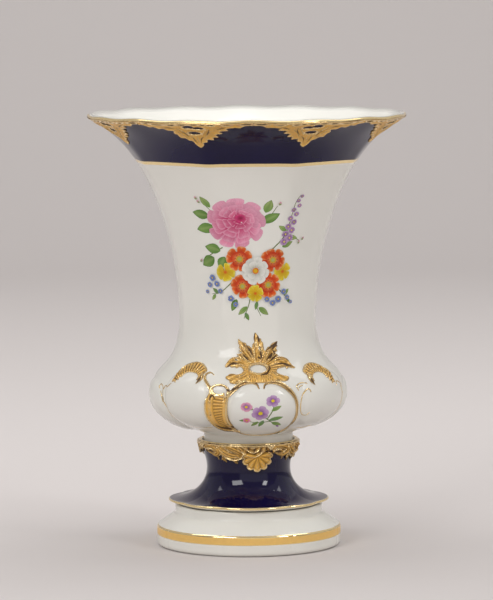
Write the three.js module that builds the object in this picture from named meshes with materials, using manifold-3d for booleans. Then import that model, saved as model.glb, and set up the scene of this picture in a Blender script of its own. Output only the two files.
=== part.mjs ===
// Funnel vase: a porcelain trumpet vessel with a lobed belly, on a cobalt stem and a round plinth.
// The three porcelain pieces are held together by one long bolt through their floors, as such vases are.
// The gilt reliefs are pressed in moulds of their own and luted on, so each is a solid of its own.
// Millimetres, +Z up. The origin is the centre of the plinth's underside and the front faces -Y.
import * as THREE from "three";
import { mergeVertices } from "three/addons/utils/BufferGeometryUtils.js";
import Module from "manifold-3d";

// Vessel
const vaseHeight = 360;
const rimRadius = 132.6;
const rimThickness = 2.6;
const rimScallop = 0.5;
const bandHeight = 322; // the gold line under the cobalt band
const bandRadius = 92.6;
const waistHeight = 190;
const waistRadius = 57.6;
const bellyHeight = 129.5;
const bellyRadius = 80.4; // between the cushions, which stand out of it
const neckTopHeight = 95.5;
const neckRadius = 37.5;
const vesselWall = 4.2;
const vesselFloor = 7;
const footRingWidth = 6;
const footRingHeight = 3;

// Lobes of the vessel
const panelCount = 8;
const ribHeight = 0.9;
const panelHollow = 0.7;
const cushionHeight = 2.8;

// Stem
const neckDepth = 10.5; // how deep the vessel's neck stands in the stem's collar
const deckThickness = 6;
const collarRise = 3.6;
const collarWall = 3.4;
const stemWaistRadius = 35;
const collarDepth = 23.1; // from the collar's edge down to the stem's waist
const stemWall = 5;
const lipRadius = 63.4; // in the notches between the lobes
const lipHeight = 39.4;
const lipThickness = 2;
const wideLobe = 2.6;
const narrowLobe = 1.5;

// Plinth
const plinthTop = 34.8;
const plinthNeckRadius = 61.5;
const plinthRadius = 76.9;
const shoulderHeight = 18.5;
const plinthWall = 9;
const plinthPlate = 7;

// Bolt, washers and gaskets
const boltRadius = 4;
const boltHeadRadius = 9;
const boltHeadHeight = 5;
const boltHoleRadius = 4.8;
const boltTail = 5; // the thread that stands out under the nut
const nutBore = 4.35;
const nutAcrossFlats = 13;
const nutHeight = 6.5;
const washerThickness = 1.5;
const washerRadius = 13;
const gasketThickness = 1.8;
const gasketRadius = 16;
const seatGasketThickness = 1.2;
const seatGasketWidth = 8;
const seatRebate = 1; // how deep the stem's gasket lies in the plinth

// Gilt reliefs
const drawingStepWidth = 1; // the drawings of the reliefs are given in these steps
const reliefLift = 0.45; // clearance from the curved skin under a relief
const frameLift = 0.95; // the same where the skin bends most
const reliefEdge = 0.45;
const frameWidth = 2.2;
const frameHeight = 1.5;
const leafHeight = 2;
const laceHeight = 0.7;
const garlandHeight = 1.3;
const shellHeight = 2.2;

const clearance = 0.3; // between faces that meet
const deckHeight = neckTopHeight - neckDepth; // the vessel's foot ring stands on this deck
const collarHeight = deckHeight + collarRise;
const stemWaistHeight = collarHeight - collarDepth;
const segments = 48;
const degree = Math.PI / 180;

const wasm = await Module();
wasm.setup();

// Outlines

const point = (r, z) => new THREE.Vector2(r, z);

// The way that a slope of so many degrees from upright goes, outwards and up.
const slope = (angle, length) =>
  point(Math.sin(angle * degree) * length, Math.cos(angle * degree) * length);

function bezier(start, leave, arrive, end) {
  return new THREE.CubicBezierCurve(start, leave, arrive, end);
}

// The vessel's outside, from the neck under the belly to the rim, as four curves that run into each other.
const rimEdge = point(rimRadius, vaseHeight - rimScallop);
const bandPoint = point(bandRadius, bandHeight);
const waistPoint = point(waistRadius, waistHeight);
const bellyPoint = point(bellyRadius, bellyHeight);
const neckPoint = point(neckRadius + 1, neckTopHeight);
const bellyDrop = bellyHeight - neckTopHeight;
const shoulderRise = waistHeight - bellyHeight;
const trunkRise = bandHeight - waistHeight;
const flareRise = rimEdge.y - bandHeight;

const skinPath = new THREE.CurvePath();
skinPath.add(
  bezier(
    neckPoint,
    point(neckRadius + 0.42 * (bellyRadius - neckRadius), neckTopHeight + 0.17 * bellyDrop),
    point(bellyRadius, bellyHeight - 0.6 * bellyDrop),
    bellyPoint,
  ),
);
skinPath.add(
  bezier(
    bellyPoint,
    point(bellyRadius, bellyHeight + 0.45 * shoulderRise),
    point(waistRadius, waistHeight - 0.73 * shoulderRise),
    waistPoint,
  ),
);
skinPath.add(
  bezier(
    waistPoint,
    point(waistRadius, waistHeight + 0.37 * trunkRise),
    bandPoint.clone().sub(slope(33, 0.29 * trunkRise)),
    bandPoint,
  ),
);
skinPath.add(
  bezier(
    bandPoint,
    bandPoint.clone().add(slope(33, 0.54 * flareRise)),
    rimEdge.clone().sub(slope(57, 0.6 * flareRise)),
    rimEdge,
  ),
);
skinPath.arcLengthDivisions = 400;

const curveLengths = skinPath.getCurveLengths();
const skinLength = skinPath.getLength();
const bellyRun = curveLengths[0];
const waistRun = curveLengths[1] - bellyRun;
const bandRun = curveLengths[2] - bellyRun;
const rimRun = skinLength - bellyRun;

// A point of the outline and its outward normal. The run is the way along it, from the belly's widest line.
function outlineAt(run) {
  const share = THREE.MathUtils.clamp((run + bellyRun) / skinLength, 0, 1);
  const at = skinPath.getPointAt(share);
  const along = skinPath.getTangentAt(share);
  return { r: at.x, z: at.y, normal: point(along.y, -along.x) };
}

// Cushions, ribs and hollows of the vessel's skin. An angle is in degrees from the front, towards +X.

const turnTo = (angle, centre) => ((((angle - centre + 180) % 360) + 360) % 360) - 180;

// Each face has a broad cushion a little right of its middle, and between them lie narrower ones.
// The front and the back bear a frame with a palmette over it, and a shell under the collar. The sides are plain.
const faces = [
  { name: "front", angle: 0, bearsFrame: true },
  { name: "right", angle: 90, bearsFrame: false },
  { name: "back", angle: 180, bearsFrame: true },
  { name: "left", angle: 270, bearsFrame: false },
];
const framed = { offset: 7, halfAngle: 21.5, centreRun: -18.5, halfRun: 29.5 };
const corners = [
  { name: "front_right", angle: 52, halfAngle: 20, side: -1 },
  { name: "back_right", angle: 136, halfAngle: 16.5, side: 1 },
  { name: "back_left", angle: 232, halfAngle: 20, side: -1 },
  { name: "front_left", angle: 316, halfAngle: 16.5, side: 1 },
];
const plain = { centreRun: -5, halfRun: 28 };
const cushionPower = 2.6;

// 0 at a cushion's centre and 1 on its edge.
function cushionShare(angle, run, centre, halfAngle, { centreRun, halfRun }) {
  const across = Math.abs(turnTo(angle, centre)) / halfAngle;
  const up = Math.abs(run - centreRun) / halfRun;
  return (across ** cushionPower + up ** cushionPower) ** (1 / cushionPower);
}

// How far the skin stands out of the plain outline at an angle and a run.
function swell(angle, run) {
  let out = 0;
  const rise = (share, height) => {
    if (share < 1) out = Math.max(out, height * (1 - share * share) ** 0.9);
  };
  faces.forEach((face) => {
    rise(cushionShare(angle, run, face.angle + framed.offset, framed.halfAngle, framed), cushionHeight);
  });
  corners.forEach((corner) => {
    rise(cushionShare(angle, run, corner.angle, corner.halfAngle, plain), 0.7 * cushionHeight);
  });
  const wave = Math.cos(panelCount * angle * degree);
  const trunk = THREE.MathUtils.smoothstep(run, 0.6 * waistRun, waistRun);
  return out + trunk * (ribHeight * ((1 - wave) / 2) ** 12 - (panelHollow * (1 + wave)) / 2);
}

// A point at a height over the skin.
function overSkin(angle, run, lift) {
  const { r, z, normal } = outlineAt(run);
  const out = swell(angle, run) + lift;
  const reach = r + normal.x * out;
  return new THREE.Vector3(
    reach * Math.sin(angle * degree),
    -reach * Math.cos(angle * degree),
    z + normal.y * out,
  );
}

// Solids turned round the axis

// A ring or disc of the given section, standing on +Z. The points run up the outside and down the inside.
function turned(section, count = segments) {
  const points = section.map(([r, z]) => point(r, z));
  return new THREE.LatheGeometry([...points, points[0]], count).rotateX(Math.PI / 2);
}

// Moves each point of a turned solid in or out and up or down by what shape(angle, r, z) says.
function reshape(geometry, shape) {
  const at = geometry.getAttribute("position");
  for (let i = 0; i < at.count; i += 1) {
    const r = Math.hypot(at.getX(i), at.getY(i));
    const angle = Math.atan2(at.getX(i), -at.getY(i)) / degree;
    const [out, up] = shape(angle, r, at.getZ(i));
    const scale = (r + out) / r;
    at.setXYZ(i, at.getX(i) * scale, at.getY(i) * scale, at.getZ(i) + up);
  }
  geometry.computeVertexNormals();
  return geometry;
}

const ring = (inner, outer, low, high) =>
  turned(
    [
      [outer, low],
      [outer, high],
      [inner, high],
      [inner, low],
    ],
    24,
  );

// Heights of the stack, from the plinth up

const plinthPlateUnder = plinthTop - plinthPlate;
const stemGasketLow = plinthTop - seatRebate + clearance;
const stemBottom = stemGasketLow + seatGasketThickness + clearance;
const vesselGasketLow = deckHeight + clearance;
const vesselBottom = vesselGasketLow + seatGasketThickness + clearance;
const floorUnder = vesselBottom + footRingHeight;
const floorTop = floorUnder + vesselFloor;
const stemGasketInner = 0.78 * plinthNeckRadius;

function vesselGeometry() {
  const rows = [];
  const addRows = (from, to, count) => {
    for (let i = 0; i < count; i += 1) rows.push(from + ((to - from) * i) / count);
  };
  addRows(-bellyRun, 0, 9);
  addRows(0, waistRun, 9);
  addRows(waistRun, bandRun, 6);
  addRows(bandRun, rimRun, 4);
  rows.push(rimRun);
  const outside = rows.map((run) => {
    const { r, z } = outlineAt(run);
    return [r, z];
  });
  // The inside follows the outline one wall in, and thins towards the rim.
  const insideRows = rows.filter((run, i) => i % 2 === 0 && outlineAt(run).z > floorTop + vesselWall);
  const inside = insideRows.map((run) => {
    const { r, z, normal } = outlineAt(run);
    const thin = THREE.MathUtils.smoothstep(run, waistRun, rimRun);
    const wall = THREE.MathUtils.lerp(vesselWall, rimThickness, thin);
    return [r - normal.x * wall, z - normal.y * wall];
  });
  const rimInner = [rimRadius - 0.8 * rimThickness, rimEdge.y + rimScallop * 0.2];
  const section = [
    [boltHoleRadius, floorUnder],
    [neckRadius - footRingWidth, floorUnder],
    [neckRadius - footRingWidth, vesselBottom],
    [neckRadius, vesselBottom],
    ...outside,
    rimInner,
    ...inside.reverse().slice(1),
    [0.72 * inside[inside.length - 1][0], floorTop],
    [boltHoleRadius, floorTop],
  ];
  const count = section.length;
  const geometry = turned(section);
  const at = geometry.getAttribute("position");
  const stride = count + 1;
  const firstRow = 4;
  for (let i = 0; i < at.count; i += 1) {
    const row = (i % stride) - firstRow;
    const angle = (Math.floor(i / stride) * 360) / segments;
    if (row >= 0 && row < rows.length) {
      const moved = overSkin(angle, rows[row], 0);
      at.setXYZ(i, moved.x, moved.y, moved.z);
    }
    // The rim rises and falls a little with the panels.
    if (row === rows.length - 1 || row === rows.length) {
      at.setZ(i, at.getZ(i) + rimScallop * Math.cos(2 * panelCount * angle * degree));
    }
  }
  return geometry;
}

// The stem's outside between the lip and the collar.
const collarRadius = neckRadius + clearance + 0.5 + collarWall;
const lipTop = point(lipRadius, lipHeight);
const stemWaist = point(stemWaistRadius, stemWaistHeight);
const stemPath = new THREE.CurvePath();
stemPath.add(
  bezier(
    lipTop,
    point(lipRadius - 0.52 * (lipRadius - stemWaistRadius), lipHeight),
    point(stemWaistRadius, stemWaistHeight - 0.63 * (stemWaistHeight - lipHeight)),
    stemWaist,
  ),
);
stemPath.add(
  bezier(
    stemWaist,
    point(stemWaistRadius, stemWaistHeight + 0.4 * (collarHeight - stemWaistHeight)),
    point(collarRadius - 0.25 * (collarRadius - stemWaistRadius), collarHeight - 6),
    point(collarRadius, collarHeight),
  ),
);

// The lip is cut in four wide lobes and, between them, four narrow ones. 0 in a notch.
function lobe(angle) {
  const wideHalf = 30;
  const narrowHalf = 15;
  const off = Math.abs(turnTo(angle, Math.round(angle / 90) * 90));
  if (off <= wideHalf) return wideLobe * (1 - (off / wideHalf) ** 2);
  return narrowLobe * (1 - ((45 - off) / narrowHalf) ** 2);
}

// The lobes fade from the lip up the flare.
function stemLobes(angle, r) {
  const share = THREE.MathUtils.clamp((r - stemWaistRadius) / (lipRadius - stemWaistRadius), 0, 1);
  return lobe(angle) * share ** 1.5;
}

function stemGeometry() {
  const outside = stemPath.getSpacedPoints(12).map(({ x, y }) => [x, y]);
  const hollowTop = deckHeight - deckThickness;
  const section = [
    [stemGasketInner, stemBottom],
    [plinthNeckRadius - 1.5, stemBottom],
    [lipRadius - 0.5, lipHeight - lipThickness],
    ...outside,
    [collarRadius - collarWall, collarHeight],
    [collarRadius - collarWall, deckHeight],
    [boltHoleRadius, deckHeight],
    [boltHoleRadius, hollowTop],
    [stemWaistRadius - stemWall - 2, hollowTop],
    [stemWaistRadius - stemWall, stemWaistHeight],
    [stemWaistRadius - stemWall + 1.5, stemWaistHeight - 12],
    [0.9 * stemGasketInner - 0.5, lipHeight + 2],
  ];
  return reshape(turned(section), (angle, r, z) => [
    z > stemBottom + 0.5 && r > stemWaistRadius && z < stemWaistHeight ? stemLobes(angle, r) : 0,
    0,
  ]);
}

function plinthGeometry() {
  const shoulder = bezier(
    point(plinthNeckRadius, plinthTop - 4),
    point(plinthNeckRadius + 1, shoulderHeight + 6.5),
    point(plinthRadius - 6, shoulderHeight + 6.5),
    point(plinthRadius - 3, shoulderHeight + 5),
  );
  const edge = bezier(
    point(plinthRadius - 3, shoulderHeight + 5),
    point(plinthRadius - 1, shoulderHeight + 4),
    point(plinthRadius, shoulderHeight + 2),
    point(plinthRadius, shoulderHeight),
  );
  const down = [...shoulder.getPoints(5), ...edge.getPoints(3).slice(1)].map(({ x, y }) => [x, y]);
  const rebate = plinthTop - seatRebate;
  return turned([
    [plinthRadius - plinthWall, 0],
    [plinthRadius - 1.9, 0],
    [plinthRadius, 2.2],
    ...down.reverse(),
    [plinthNeckRadius, plinthTop],
    [stemGasketInner + seatGasketWidth + 2 * clearance, plinthTop],
    [stemGasketInner + seatGasketWidth + 2 * clearance, rebate],
    [boltHoleRadius, rebate],
    [boltHoleRadius, plinthPlateUnder - seatRebate],
    [plinthNeckRadius - plinthWall, plinthPlateUnder - seatRebate],
    [plinthRadius - plinthWall, shoulderHeight - 3],
  ]);
}

// Bolt and nut, and what they press on

const headGasketLow = floorTop + clearance;
const headWasherLow = headGasketLow + gasketThickness + clearance;
const boltHeadLow = headWasherLow + washerThickness + clearance;
const nutGasketTop = plinthPlateUnder - seatRebate - clearance;
const nutWasherTop = nutGasketTop - gasketThickness - clearance;
const nutTop = nutWasherTop - washerThickness - clearance;
const boltEnd = nutTop - nutHeight - boltTail;

function boltGeometry() {
  const dome = new THREE.EllipseCurve(0, 0, boltHeadRadius, 0.6 * boltHeadHeight, 0, Math.PI / 2);
  const top = dome.getPoints(4).map(({ x, y }) => [x, boltHeadLow + 0.4 * boltHeadHeight + y]);
  const section = [
    [0, boltEnd],
    [boltRadius - 1, boltEnd],
    [boltRadius, boltEnd + 1],
    [boltRadius, boltHeadLow],
    [boltHeadRadius, boltHeadLow],
    ...top,
  ].map(([r, z]) => point(r, z));
  return new THREE.LatheGeometry(section, 24).rotateX(Math.PI / 2);
}

function nutGeometry() {
  const hexagon = new THREE.Shape();
  for (let i = 0; i < 6; i += 1) {
    const turn = (i * Math.PI) / 3;
    const reach = nutAcrossFlats / 2 / Math.cos(Math.PI / 6);
    if (i === 0) hexagon.moveTo(reach, 0);
    else hexagon.lineTo(reach * Math.cos(turn), reach * Math.sin(turn));
  }
  hexagon.holes.push(new THREE.Path().absarc(0, 0, nutBore, 0, 2 * Math.PI, true));
  return new THREE.ExtrudeGeometry(hexagon, {
    depth: nutHeight,
    bevelEnabled: false,
    curveSegments: 24,
  }).translate(0, 0, nutTop - nutHeight);
}

// Reliefs

// A closed patch over a curved skin: place(across, along, lift) gives a point, across runs from -1 to 1 and
// along from 0 to 1, and height(across, along) is the patch's thickness. A looped patch meets its own start.
function patch(columns, rows, place, height, looped = false, lift = reliefLift) {
  const positions = [];
  const index = [];
  const rowCount = looped ? rows : rows + 1;
  const layer = (columns + 1) * rowCount;
  [1, 0].forEach((top) => {
    for (let j = 0; j < rowCount; j += 1) {
      for (let i = 0; i <= columns; i += 1) {
        const across = (2 * i) / columns - 1;
        const along = j / rows;
        const at = place(across, along, lift + top * height(across, along));
        positions.push(at.x, at.y, at.z);
      }
    }
  });
  const cell = (i, j, low) => low * layer + (j % rowCount) * (columns + 1) + i;
  const quad = (a, b, c, d) => index.push(a, b, c, a, c, d);
  for (let j = 0; j < rows; j += 1) {
    for (let i = 0; i < columns; i += 1) {
      quad(cell(i, j, 0), cell(i + 1, j, 0), cell(i + 1, j + 1, 0), cell(i, j + 1, 0));
      quad(cell(i, j, 1), cell(i, j + 1, 1), cell(i + 1, j + 1, 1), cell(i + 1, j, 1));
    }
    quad(cell(0, j, 1), cell(0, j, 0), cell(0, j + 1, 0), cell(0, j + 1, 1));
    quad(cell(columns, j, 0), cell(columns, j, 1), cell(columns, j + 1, 1), cell(columns, j + 1, 0));
  }
  if (!looped) {
    for (let i = 0; i < columns; i += 1) {
      quad(cell(i, 0, 1), cell(i + 1, 0, 1), cell(i + 1, 0, 0), cell(i, 0, 0));
      quad(cell(i, rows, 0), cell(i + 1, rows, 0), cell(i + 1, rows, 1), cell(i, rows, 1));
    }
  }
  return new THREE.BufferGeometry()
    .setAttribute("position", new THREE.Float32BufferAttribute(positions, 3))
    .setIndex(index);
}

// A strip of relief along a line that line(along) gives as [u, v]: millimetres across and up the skin from a
// centre. Its half width and height change along it.
function strip(centreAngle, centreRun, side, line, halfWidth, height, rows, looped = false, raise = reliefLift) {
  const place = (across, along, lift) => {
    const [u, v] = line(along);
    const [un, vn] = line(along + 0.002);
    const [up, vp] = line(along - 0.002);
    const length = Math.hypot(un - up, vn - vp);
    const half = drawingStepWidth * halfWidth(along) * across;
    const x = u + ((vn - vp) / length) * half;
    const y = v - ((un - up) / length) * half;
    const run = centreRun + y;
    const angle = centreAngle + (x * side) / outlineAt(run).r / degree;
    return overSkin(angle, run, lift);
  };
  const crown = (across, along) => reliefEdge + height(along) * (1 - Math.abs(across));
  const geometry = patch(2, rows, place, crown, looped, raise);
  if (side < 0) flip(geometry);
  return geometry;
}

function flip(geometry) {
  const { array } = geometry.index;
  for (let i = 0; i < array.length; i += 3) [array[i + 1], array[i + 2]] = [array[i + 2], array[i + 1]];
}

// A smooth line through points, and a width that swells between narrow ends.
function through(points) {
  const curve = new THREE.SplineCurve(points.map(([u, v]) => point(u * drawingStepWidth, v * drawingStepWidth)));
  return (along) => {
    if (along < 0 || along > 1) {
      const end = curve.getPoint(along < 0 ? 0 : 1);
      const inner = curve.getPoint(along < 0 ? 0.002 : 0.998);
      return [2 * end.x - inner.x, 2 * end.y - inner.y];
    }
    const { x, y } = curve.getPoint(along);
    return [x, y];
  };
}
const leafWidth = (root, widest, tip) => (along) =>
  along < 0.4
    ? THREE.MathUtils.lerp(root, widest, Math.sin((along / 0.4) * (Math.PI / 2)))
    : THREE.MathUtils.lerp(widest, tip, ((along - 0.4) / 0.6) ** 1.4);

// Joins closed geometries into one.
function joined(geometries) {
  const solids = geometries.map((geometry) => {
    const bare = new THREE.BufferGeometry().setAttribute("position", geometry.getAttribute("position"));
    if (geometry.index) bare.setIndex(geometry.index);
    const merged = mergeVertices(bare, 1e-3);
    return new wasm.Manifold(
      new wasm.Mesh({
        numProp: 3,
        vertProperties: new Float32Array(merged.getAttribute("position").array),
        triVerts: new Uint32Array(merged.index.array),
      }),
    );
  });
  const { vertProperties, triVerts } = solids.reduce((sum, solid) => sum.add(solid)).getMesh();
  const geometry = new THREE.BufferGeometry();
  geometry.setAttribute("position", new THREE.BufferAttribute(new Float32Array(vertProperties), 3));
  geometry.setIndex(new THREE.BufferAttribute(new Uint32Array(triVerts), 1));
  geometry.computeVertexNormals();
  return geometry;
}

// The frame round a framed cushion, with a broad wing at its left.
function cartoucheGeometry({ angle: face }) {
  const centre = face + framed.offset;
  const superPower = 2 / cushionPower;
  const place = (across, along, lift) => {
    const turn = along * 2 * Math.PI;
    const out = 1.03 + (across * frameWidth) / framed.halfRun;
    const u = Math.sign(Math.sin(turn)) * Math.abs(Math.sin(turn)) ** superPower;
    const v = Math.sign(Math.cos(turn)) * Math.abs(Math.cos(turn)) ** superPower;
    return overSkin(centre + u * out * framed.halfAngle, framed.centreRun + v * out * framed.halfRun, lift);
  };
  const crown = (across) => reliefEdge + frameHeight * (1 - Math.abs(across));
  const frame = patch(2, 26, place, crown, true, frameLift);
  flip(frame);
  const line = through([
    [-32, 27],
    [-36.5, 14],
    [-35.5, -2],
    [-28.5, -16],
    [-19, -25],
  ]);
  const width = leafWidth(1.5, 6.6, 0.8);
  const wing = strip(centre, framed.centreRun, 1, line, width, () => leafHeight, 7, false, frameLift);
  return joined([frame, wing]);
}

// The palmette over a cartouche: a pierced eye, flames above it and a scroll that opens to each side.
const flames = [
  { line: [[-1, 4], [-1, 31]], widest: 7 },
  { line: [[-4, 5], [-10, 15], [-14, 26]], widest: 6 },
  { line: [[4, 5], [11, 14], [17.5, 24.5]], widest: 6 },
  { line: [[-8, 3], [-16, 8], [-23, 6.5], [-28, 1.5]], widest: 4.4 },
  { line: [[8, 3], [17, 8], [26, 5.5], [33.5, 1]], widest: 4.4 },
];
function palmetteGeometry({ angle: face }) {
  const angle = face + framed.offset - 2.5;
  const run = framed.centreRun + framed.halfRun + 19 * drawingStepWidth;
  const ringLine = (along) => {
    const turn = along * 2 * Math.PI;
    return [9.4 * drawingStepWidth * Math.sin(turn), 6.6 * drawingStepWidth * Math.cos(turn)];
  };
  const crown = () => leafHeight;
  const eye = strip(angle, run, 1, ringLine, () => 3, crown, 12, true);
  const footLine = through([
    [-29, -5],
    [-22, -11],
    [0, -9.5],
    [18, -11.5],
    [25, -8],
  ]);
  const foot = strip(angle, run, 1, footLine, leafWidth(2.4, 3.6, 2.2), crown, 6);
  const leaves = flames.map(({ line, widest }) =>
    strip(angle, run, 1, through(line), leafWidth(3, widest, 0.5), crown, line.length + 1),
  );
  return joined([eye, foot, ...leaves]);
}

// The crest over a plain cushion: it is thick at the hook towards the front or back, and tapers away from it.
function crestGeometry({ angle, side }) {
  const line = through([
    [13, -9],
    [13, 0.5],
    [9, 6],
    [2, 8],
    [-5, 5],
    [-10, -1.5],
    [-11.5, -10.5],
  ]);
  const run = plain.centreRun + plain.halfRun;
  return strip(angle, run, side, line, leafWidth(0.8, 4.4, 1), () => leafHeight, 9, false, frameLift);
}

// One eighth of the gilt lace under the rim, with the pendant that hangs over a rib.
function laceGeometry(angle, side) {
  const half = 180 / panelCount - 0.2;
  const edgeGap = 1.2 * drawingStepWidth;
  const depth = (across) => {
    const off = across * side;
    const fall = off < 0.02 ? Math.max(0, 1 + off / 0.78) : Math.max(0, 1 - (off - 0.02) / 0.42);
    return drawingStepWidth * (6 + 27 * fall ** 1.25);
  };
  const place = (across, along, lift) =>
    overSkin(angle + across * half, rimRun - edgeGap - along * depth(across), lift);
  const geometry = patch(12, 3, place, () => laceHeight);
  flip(geometry);
  return geometry;
}

// The stem's outline between the waist and the collar, by height, for the garland and the shells.
const collarCurve = stemPath.curves[1];
function overStem(angle, z, lift) {
  let low = 0;
  let high = 1;
  for (let i = 0; i < 20; i += 1) {
    const middle = (low + high) / 2;
    if (collarCurve.getPoint(middle).y < z) low = middle;
    else high = middle;
  }
  const at = collarCurve.getPoint(low);
  const along = collarCurve.getTangent(low);
  const reach = at.x + along.y * lift;
  return new THREE.Vector3(
    reach * Math.sin(angle * degree),
    -reach * Math.cos(angle * degree),
    z - along.x * lift,
  );
}

// The gilt garland round the collar. Its lower edge hangs in uneven leaves, and is short over the shells.
const shellOffset = 8; // degrees that a shell hangs right of its face
function garlandGeometry() {
  const rows = 48;
  const wave = (angle) => Math.cos(12 * angle * degree) - Math.cos(4 * (angle - shellOffset) * degree);
  const depth = (angle) => drawingStepWidth * (11.8 + 1.6 * wave(angle));
  const place = (across, along, lift) => {
    const angle = along * 360;
    const top = collarHeight - 0.2 + 0.9 * Math.cos(8 * angle * degree);
    const z = top - ((across + 1) / 2) * depth(angle);
    return overStem(angle, Math.min(z, collarHeight), lift);
  };
  const crown = (across) => reliefEdge + garlandHeight * (1 - 0.8 * Math.abs(across));
  return patch(4, rows, place, crown, true);
}

// A scallop shell that hangs from the garland.
function shellGeometry({ angle: face }) {
  const angle = face + shellOffset;
  const topHeight = collarHeight - 12.1 * drawingStepWidth;
  const length = 14 * drawingStepWidth;
  const width = 12.5 * drawingStepWidth;
  const place = (across, along, lift) => {
    const spread = width * Math.sin(Math.PI * (0.16 + 0.62 * along));
    const scallop = 1 - 0.35 * along * across ** 2;
    const z = topHeight - length * along * scallop;
    const reach = overStem(0, z, 0);
    return overStem(angle + (spread * across) / -reach.y / degree, z, lift);
  };
  const flutes = 5;
  const crown = (across, along) =>
    reliefEdge + shellHeight * (0.55 + 0.45 * Math.cos(flutes * Math.PI * across)) * (1 - 0.4 * along);
  const geometry = patch(2 * flutes, 4, place, crown);
  flip(geometry);
  return geometry;
}

// Finishes

const finish = (color, roughness, metalness = 0) =>
  new THREE.MeshStandardMaterial({ color, roughness, metalness });
const whiteGlaze = finish(0xece9e2, 0.12);
const cobaltGlaze = finish(0x120b3c, 0.1);
const gilding = finish(0xd9a441, 0.28, 1);
const brass = finish(0xb08d4a, 0.35, 1);
const rubber = finish(0x2b2a29, 0.8);
const felt = finish(0x9a8f7c, 0.95);

// Assembly

const vase = new THREE.Group();

function add(name, geometry, material) {
  const mesh = new THREE.Mesh(geometry, material);
  mesh.name = name;
  vase.add(mesh);
  return mesh;
}

add("vessel", vesselGeometry(), whiteGlaze);
add("stem", stemGeometry(), cobaltGlaze);
add("plinth", plinthGeometry(), whiteGlaze);

const seatInner = neckRadius - footRingWidth;
add(
  "vessel_gasket",
  ring(seatInner, neckRadius - clearance, vesselGasketLow, vesselGasketLow + seatGasketThickness),
  felt,
);
add(
  "stem_gasket",
  ring(
    stemGasketInner + clearance,
    stemGasketInner + seatGasketWidth,
    stemGasketLow,
    stemGasketLow + seatGasketThickness,
  ),
  felt,
);
add("tie_bolt", boltGeometry(), brass);
add("tie_nut", nutGeometry(), brass);
const washerBore = boltRadius + clearance;
add("head_washer", ring(washerBore, washerRadius, headWasherLow, headWasherLow + washerThickness), brass);
add("head_gasket", ring(washerBore, gasketRadius, headGasketLow, headGasketLow + gasketThickness), rubber);
add("nut_gasket", ring(washerBore, gasketRadius, nutGasketTop - gasketThickness, nutGasketTop), rubber);
add("nut_washer", ring(washerBore, washerRadius, nutWasherTop - washerThickness, nutWasherTop), brass);

faces
  .filter((face) => face.bearsFrame)
  .forEach((face) => {
    add(`cartouche_${face.name}`, cartoucheGeometry(face), gilding);
    add(`palmette_${face.name}`, palmetteGeometry(face), gilding);
    add(`shell_${face.name}`, shellGeometry(face), gilding);
  });
corners.forEach((corner) => {
  add(`crest_${corner.name}`, crestGeometry(corner), gilding);
});

for (let i = 0; i < panelCount; i += 1) {
  const angle = ((i + 0.5) * 360) / panelCount;
  const side = Math.floor(i / 2) % 2 === 0 ? -1 : 1;
  add(`rim_lace_${i + 1}`, laceGeometry(angle, side), gilding);
}

add("collar_garland", garlandGeometry(), gilding);

export default vase;
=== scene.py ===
import math
import bpy
import numpy as np
from mathutils import Matrix, Vector


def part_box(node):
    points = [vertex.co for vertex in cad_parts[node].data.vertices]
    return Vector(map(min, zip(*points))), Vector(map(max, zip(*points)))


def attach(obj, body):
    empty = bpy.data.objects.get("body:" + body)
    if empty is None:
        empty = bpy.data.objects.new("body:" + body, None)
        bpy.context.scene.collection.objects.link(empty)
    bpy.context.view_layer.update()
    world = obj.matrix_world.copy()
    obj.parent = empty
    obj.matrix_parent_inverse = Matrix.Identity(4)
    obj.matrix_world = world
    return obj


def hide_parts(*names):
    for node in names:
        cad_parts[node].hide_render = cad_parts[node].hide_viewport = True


# Funnel vase: white porcelain on a cobalt stem, gilt reliefs, a painted spray. Shapes are in mm until meshed.
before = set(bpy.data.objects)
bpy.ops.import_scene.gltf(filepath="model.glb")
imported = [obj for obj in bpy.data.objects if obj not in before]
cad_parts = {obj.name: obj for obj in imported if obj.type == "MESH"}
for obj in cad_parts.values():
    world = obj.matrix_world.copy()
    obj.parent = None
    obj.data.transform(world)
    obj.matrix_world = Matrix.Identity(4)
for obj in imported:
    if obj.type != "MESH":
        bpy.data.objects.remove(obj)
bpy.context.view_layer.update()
mm = 0.001


def smooth(low, high, value):  # 0 below low, 1 above high, and 3s^2 - 2s^3 of the share s between
    share = np.clip((np.asarray(value, float) - low) / (high - low), 0, 1)
    return share * share * (3 - 2 * share)


def bezier(p0, p1, p2, p3, count=160):  # points of a cubic curve with two handles
    t = np.linspace(0, 1, count)[:, None]
    p0, p1, p2, p3 = (np.array(p, float) for p in (p0, p1, p2, p3))
    return (1 - t) ** 3 * p0 + 3 * t * (1 - t) ** 2 * p1 + 3 * t * t * (1 - t) * p2 + t ** 3 * p3


def lengthAlong(line):  # how far along the line each of its points lies
    return np.concatenate([[0], np.cumsum(np.linalg.norm(np.diff(line, axis=0), axis=1))])


def splineLine(points, count=60, closed=False):  # Catmull-Rom through the points, evenly spaced by length
    p = np.array(points, float)
    if len(p) == 2 and not closed:
        t = np.linspace(0, 1, count)[:, None]
        return p[0] * (1 - t) + p[1] * t
    if closed:
        q = np.vstack([p[-1], p, p[0], p[1]])
        spans = len(p)
    else:
        q = np.vstack([2 * p[0] - p[1], p, 2 * p[-1] - p[-2]])
        spans = len(p) - 1
    out = []
    t = np.linspace(0, 1, 24, endpoint=False)[:, None]
    for a, b, c, d in zip(q[:spans], q[1:], q[2:], q[3:]):
        out.append(0.5 * (2 * b + (c - a) * t + (2 * a - 5 * b + 4 * c - d) * t ** 2
                          + (3 * b - a - 3 * c + d) * t ** 3))
    out.append((p[0] if closed else p[-1])[None])
    dense = np.vstack(out)
    length = lengthAlong(dense)
    at = np.linspace(0, length[-1], count)
    return np.stack([np.interp(at, length, dense[:, k]) for k in range(dense.shape[1])], -1)


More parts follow.
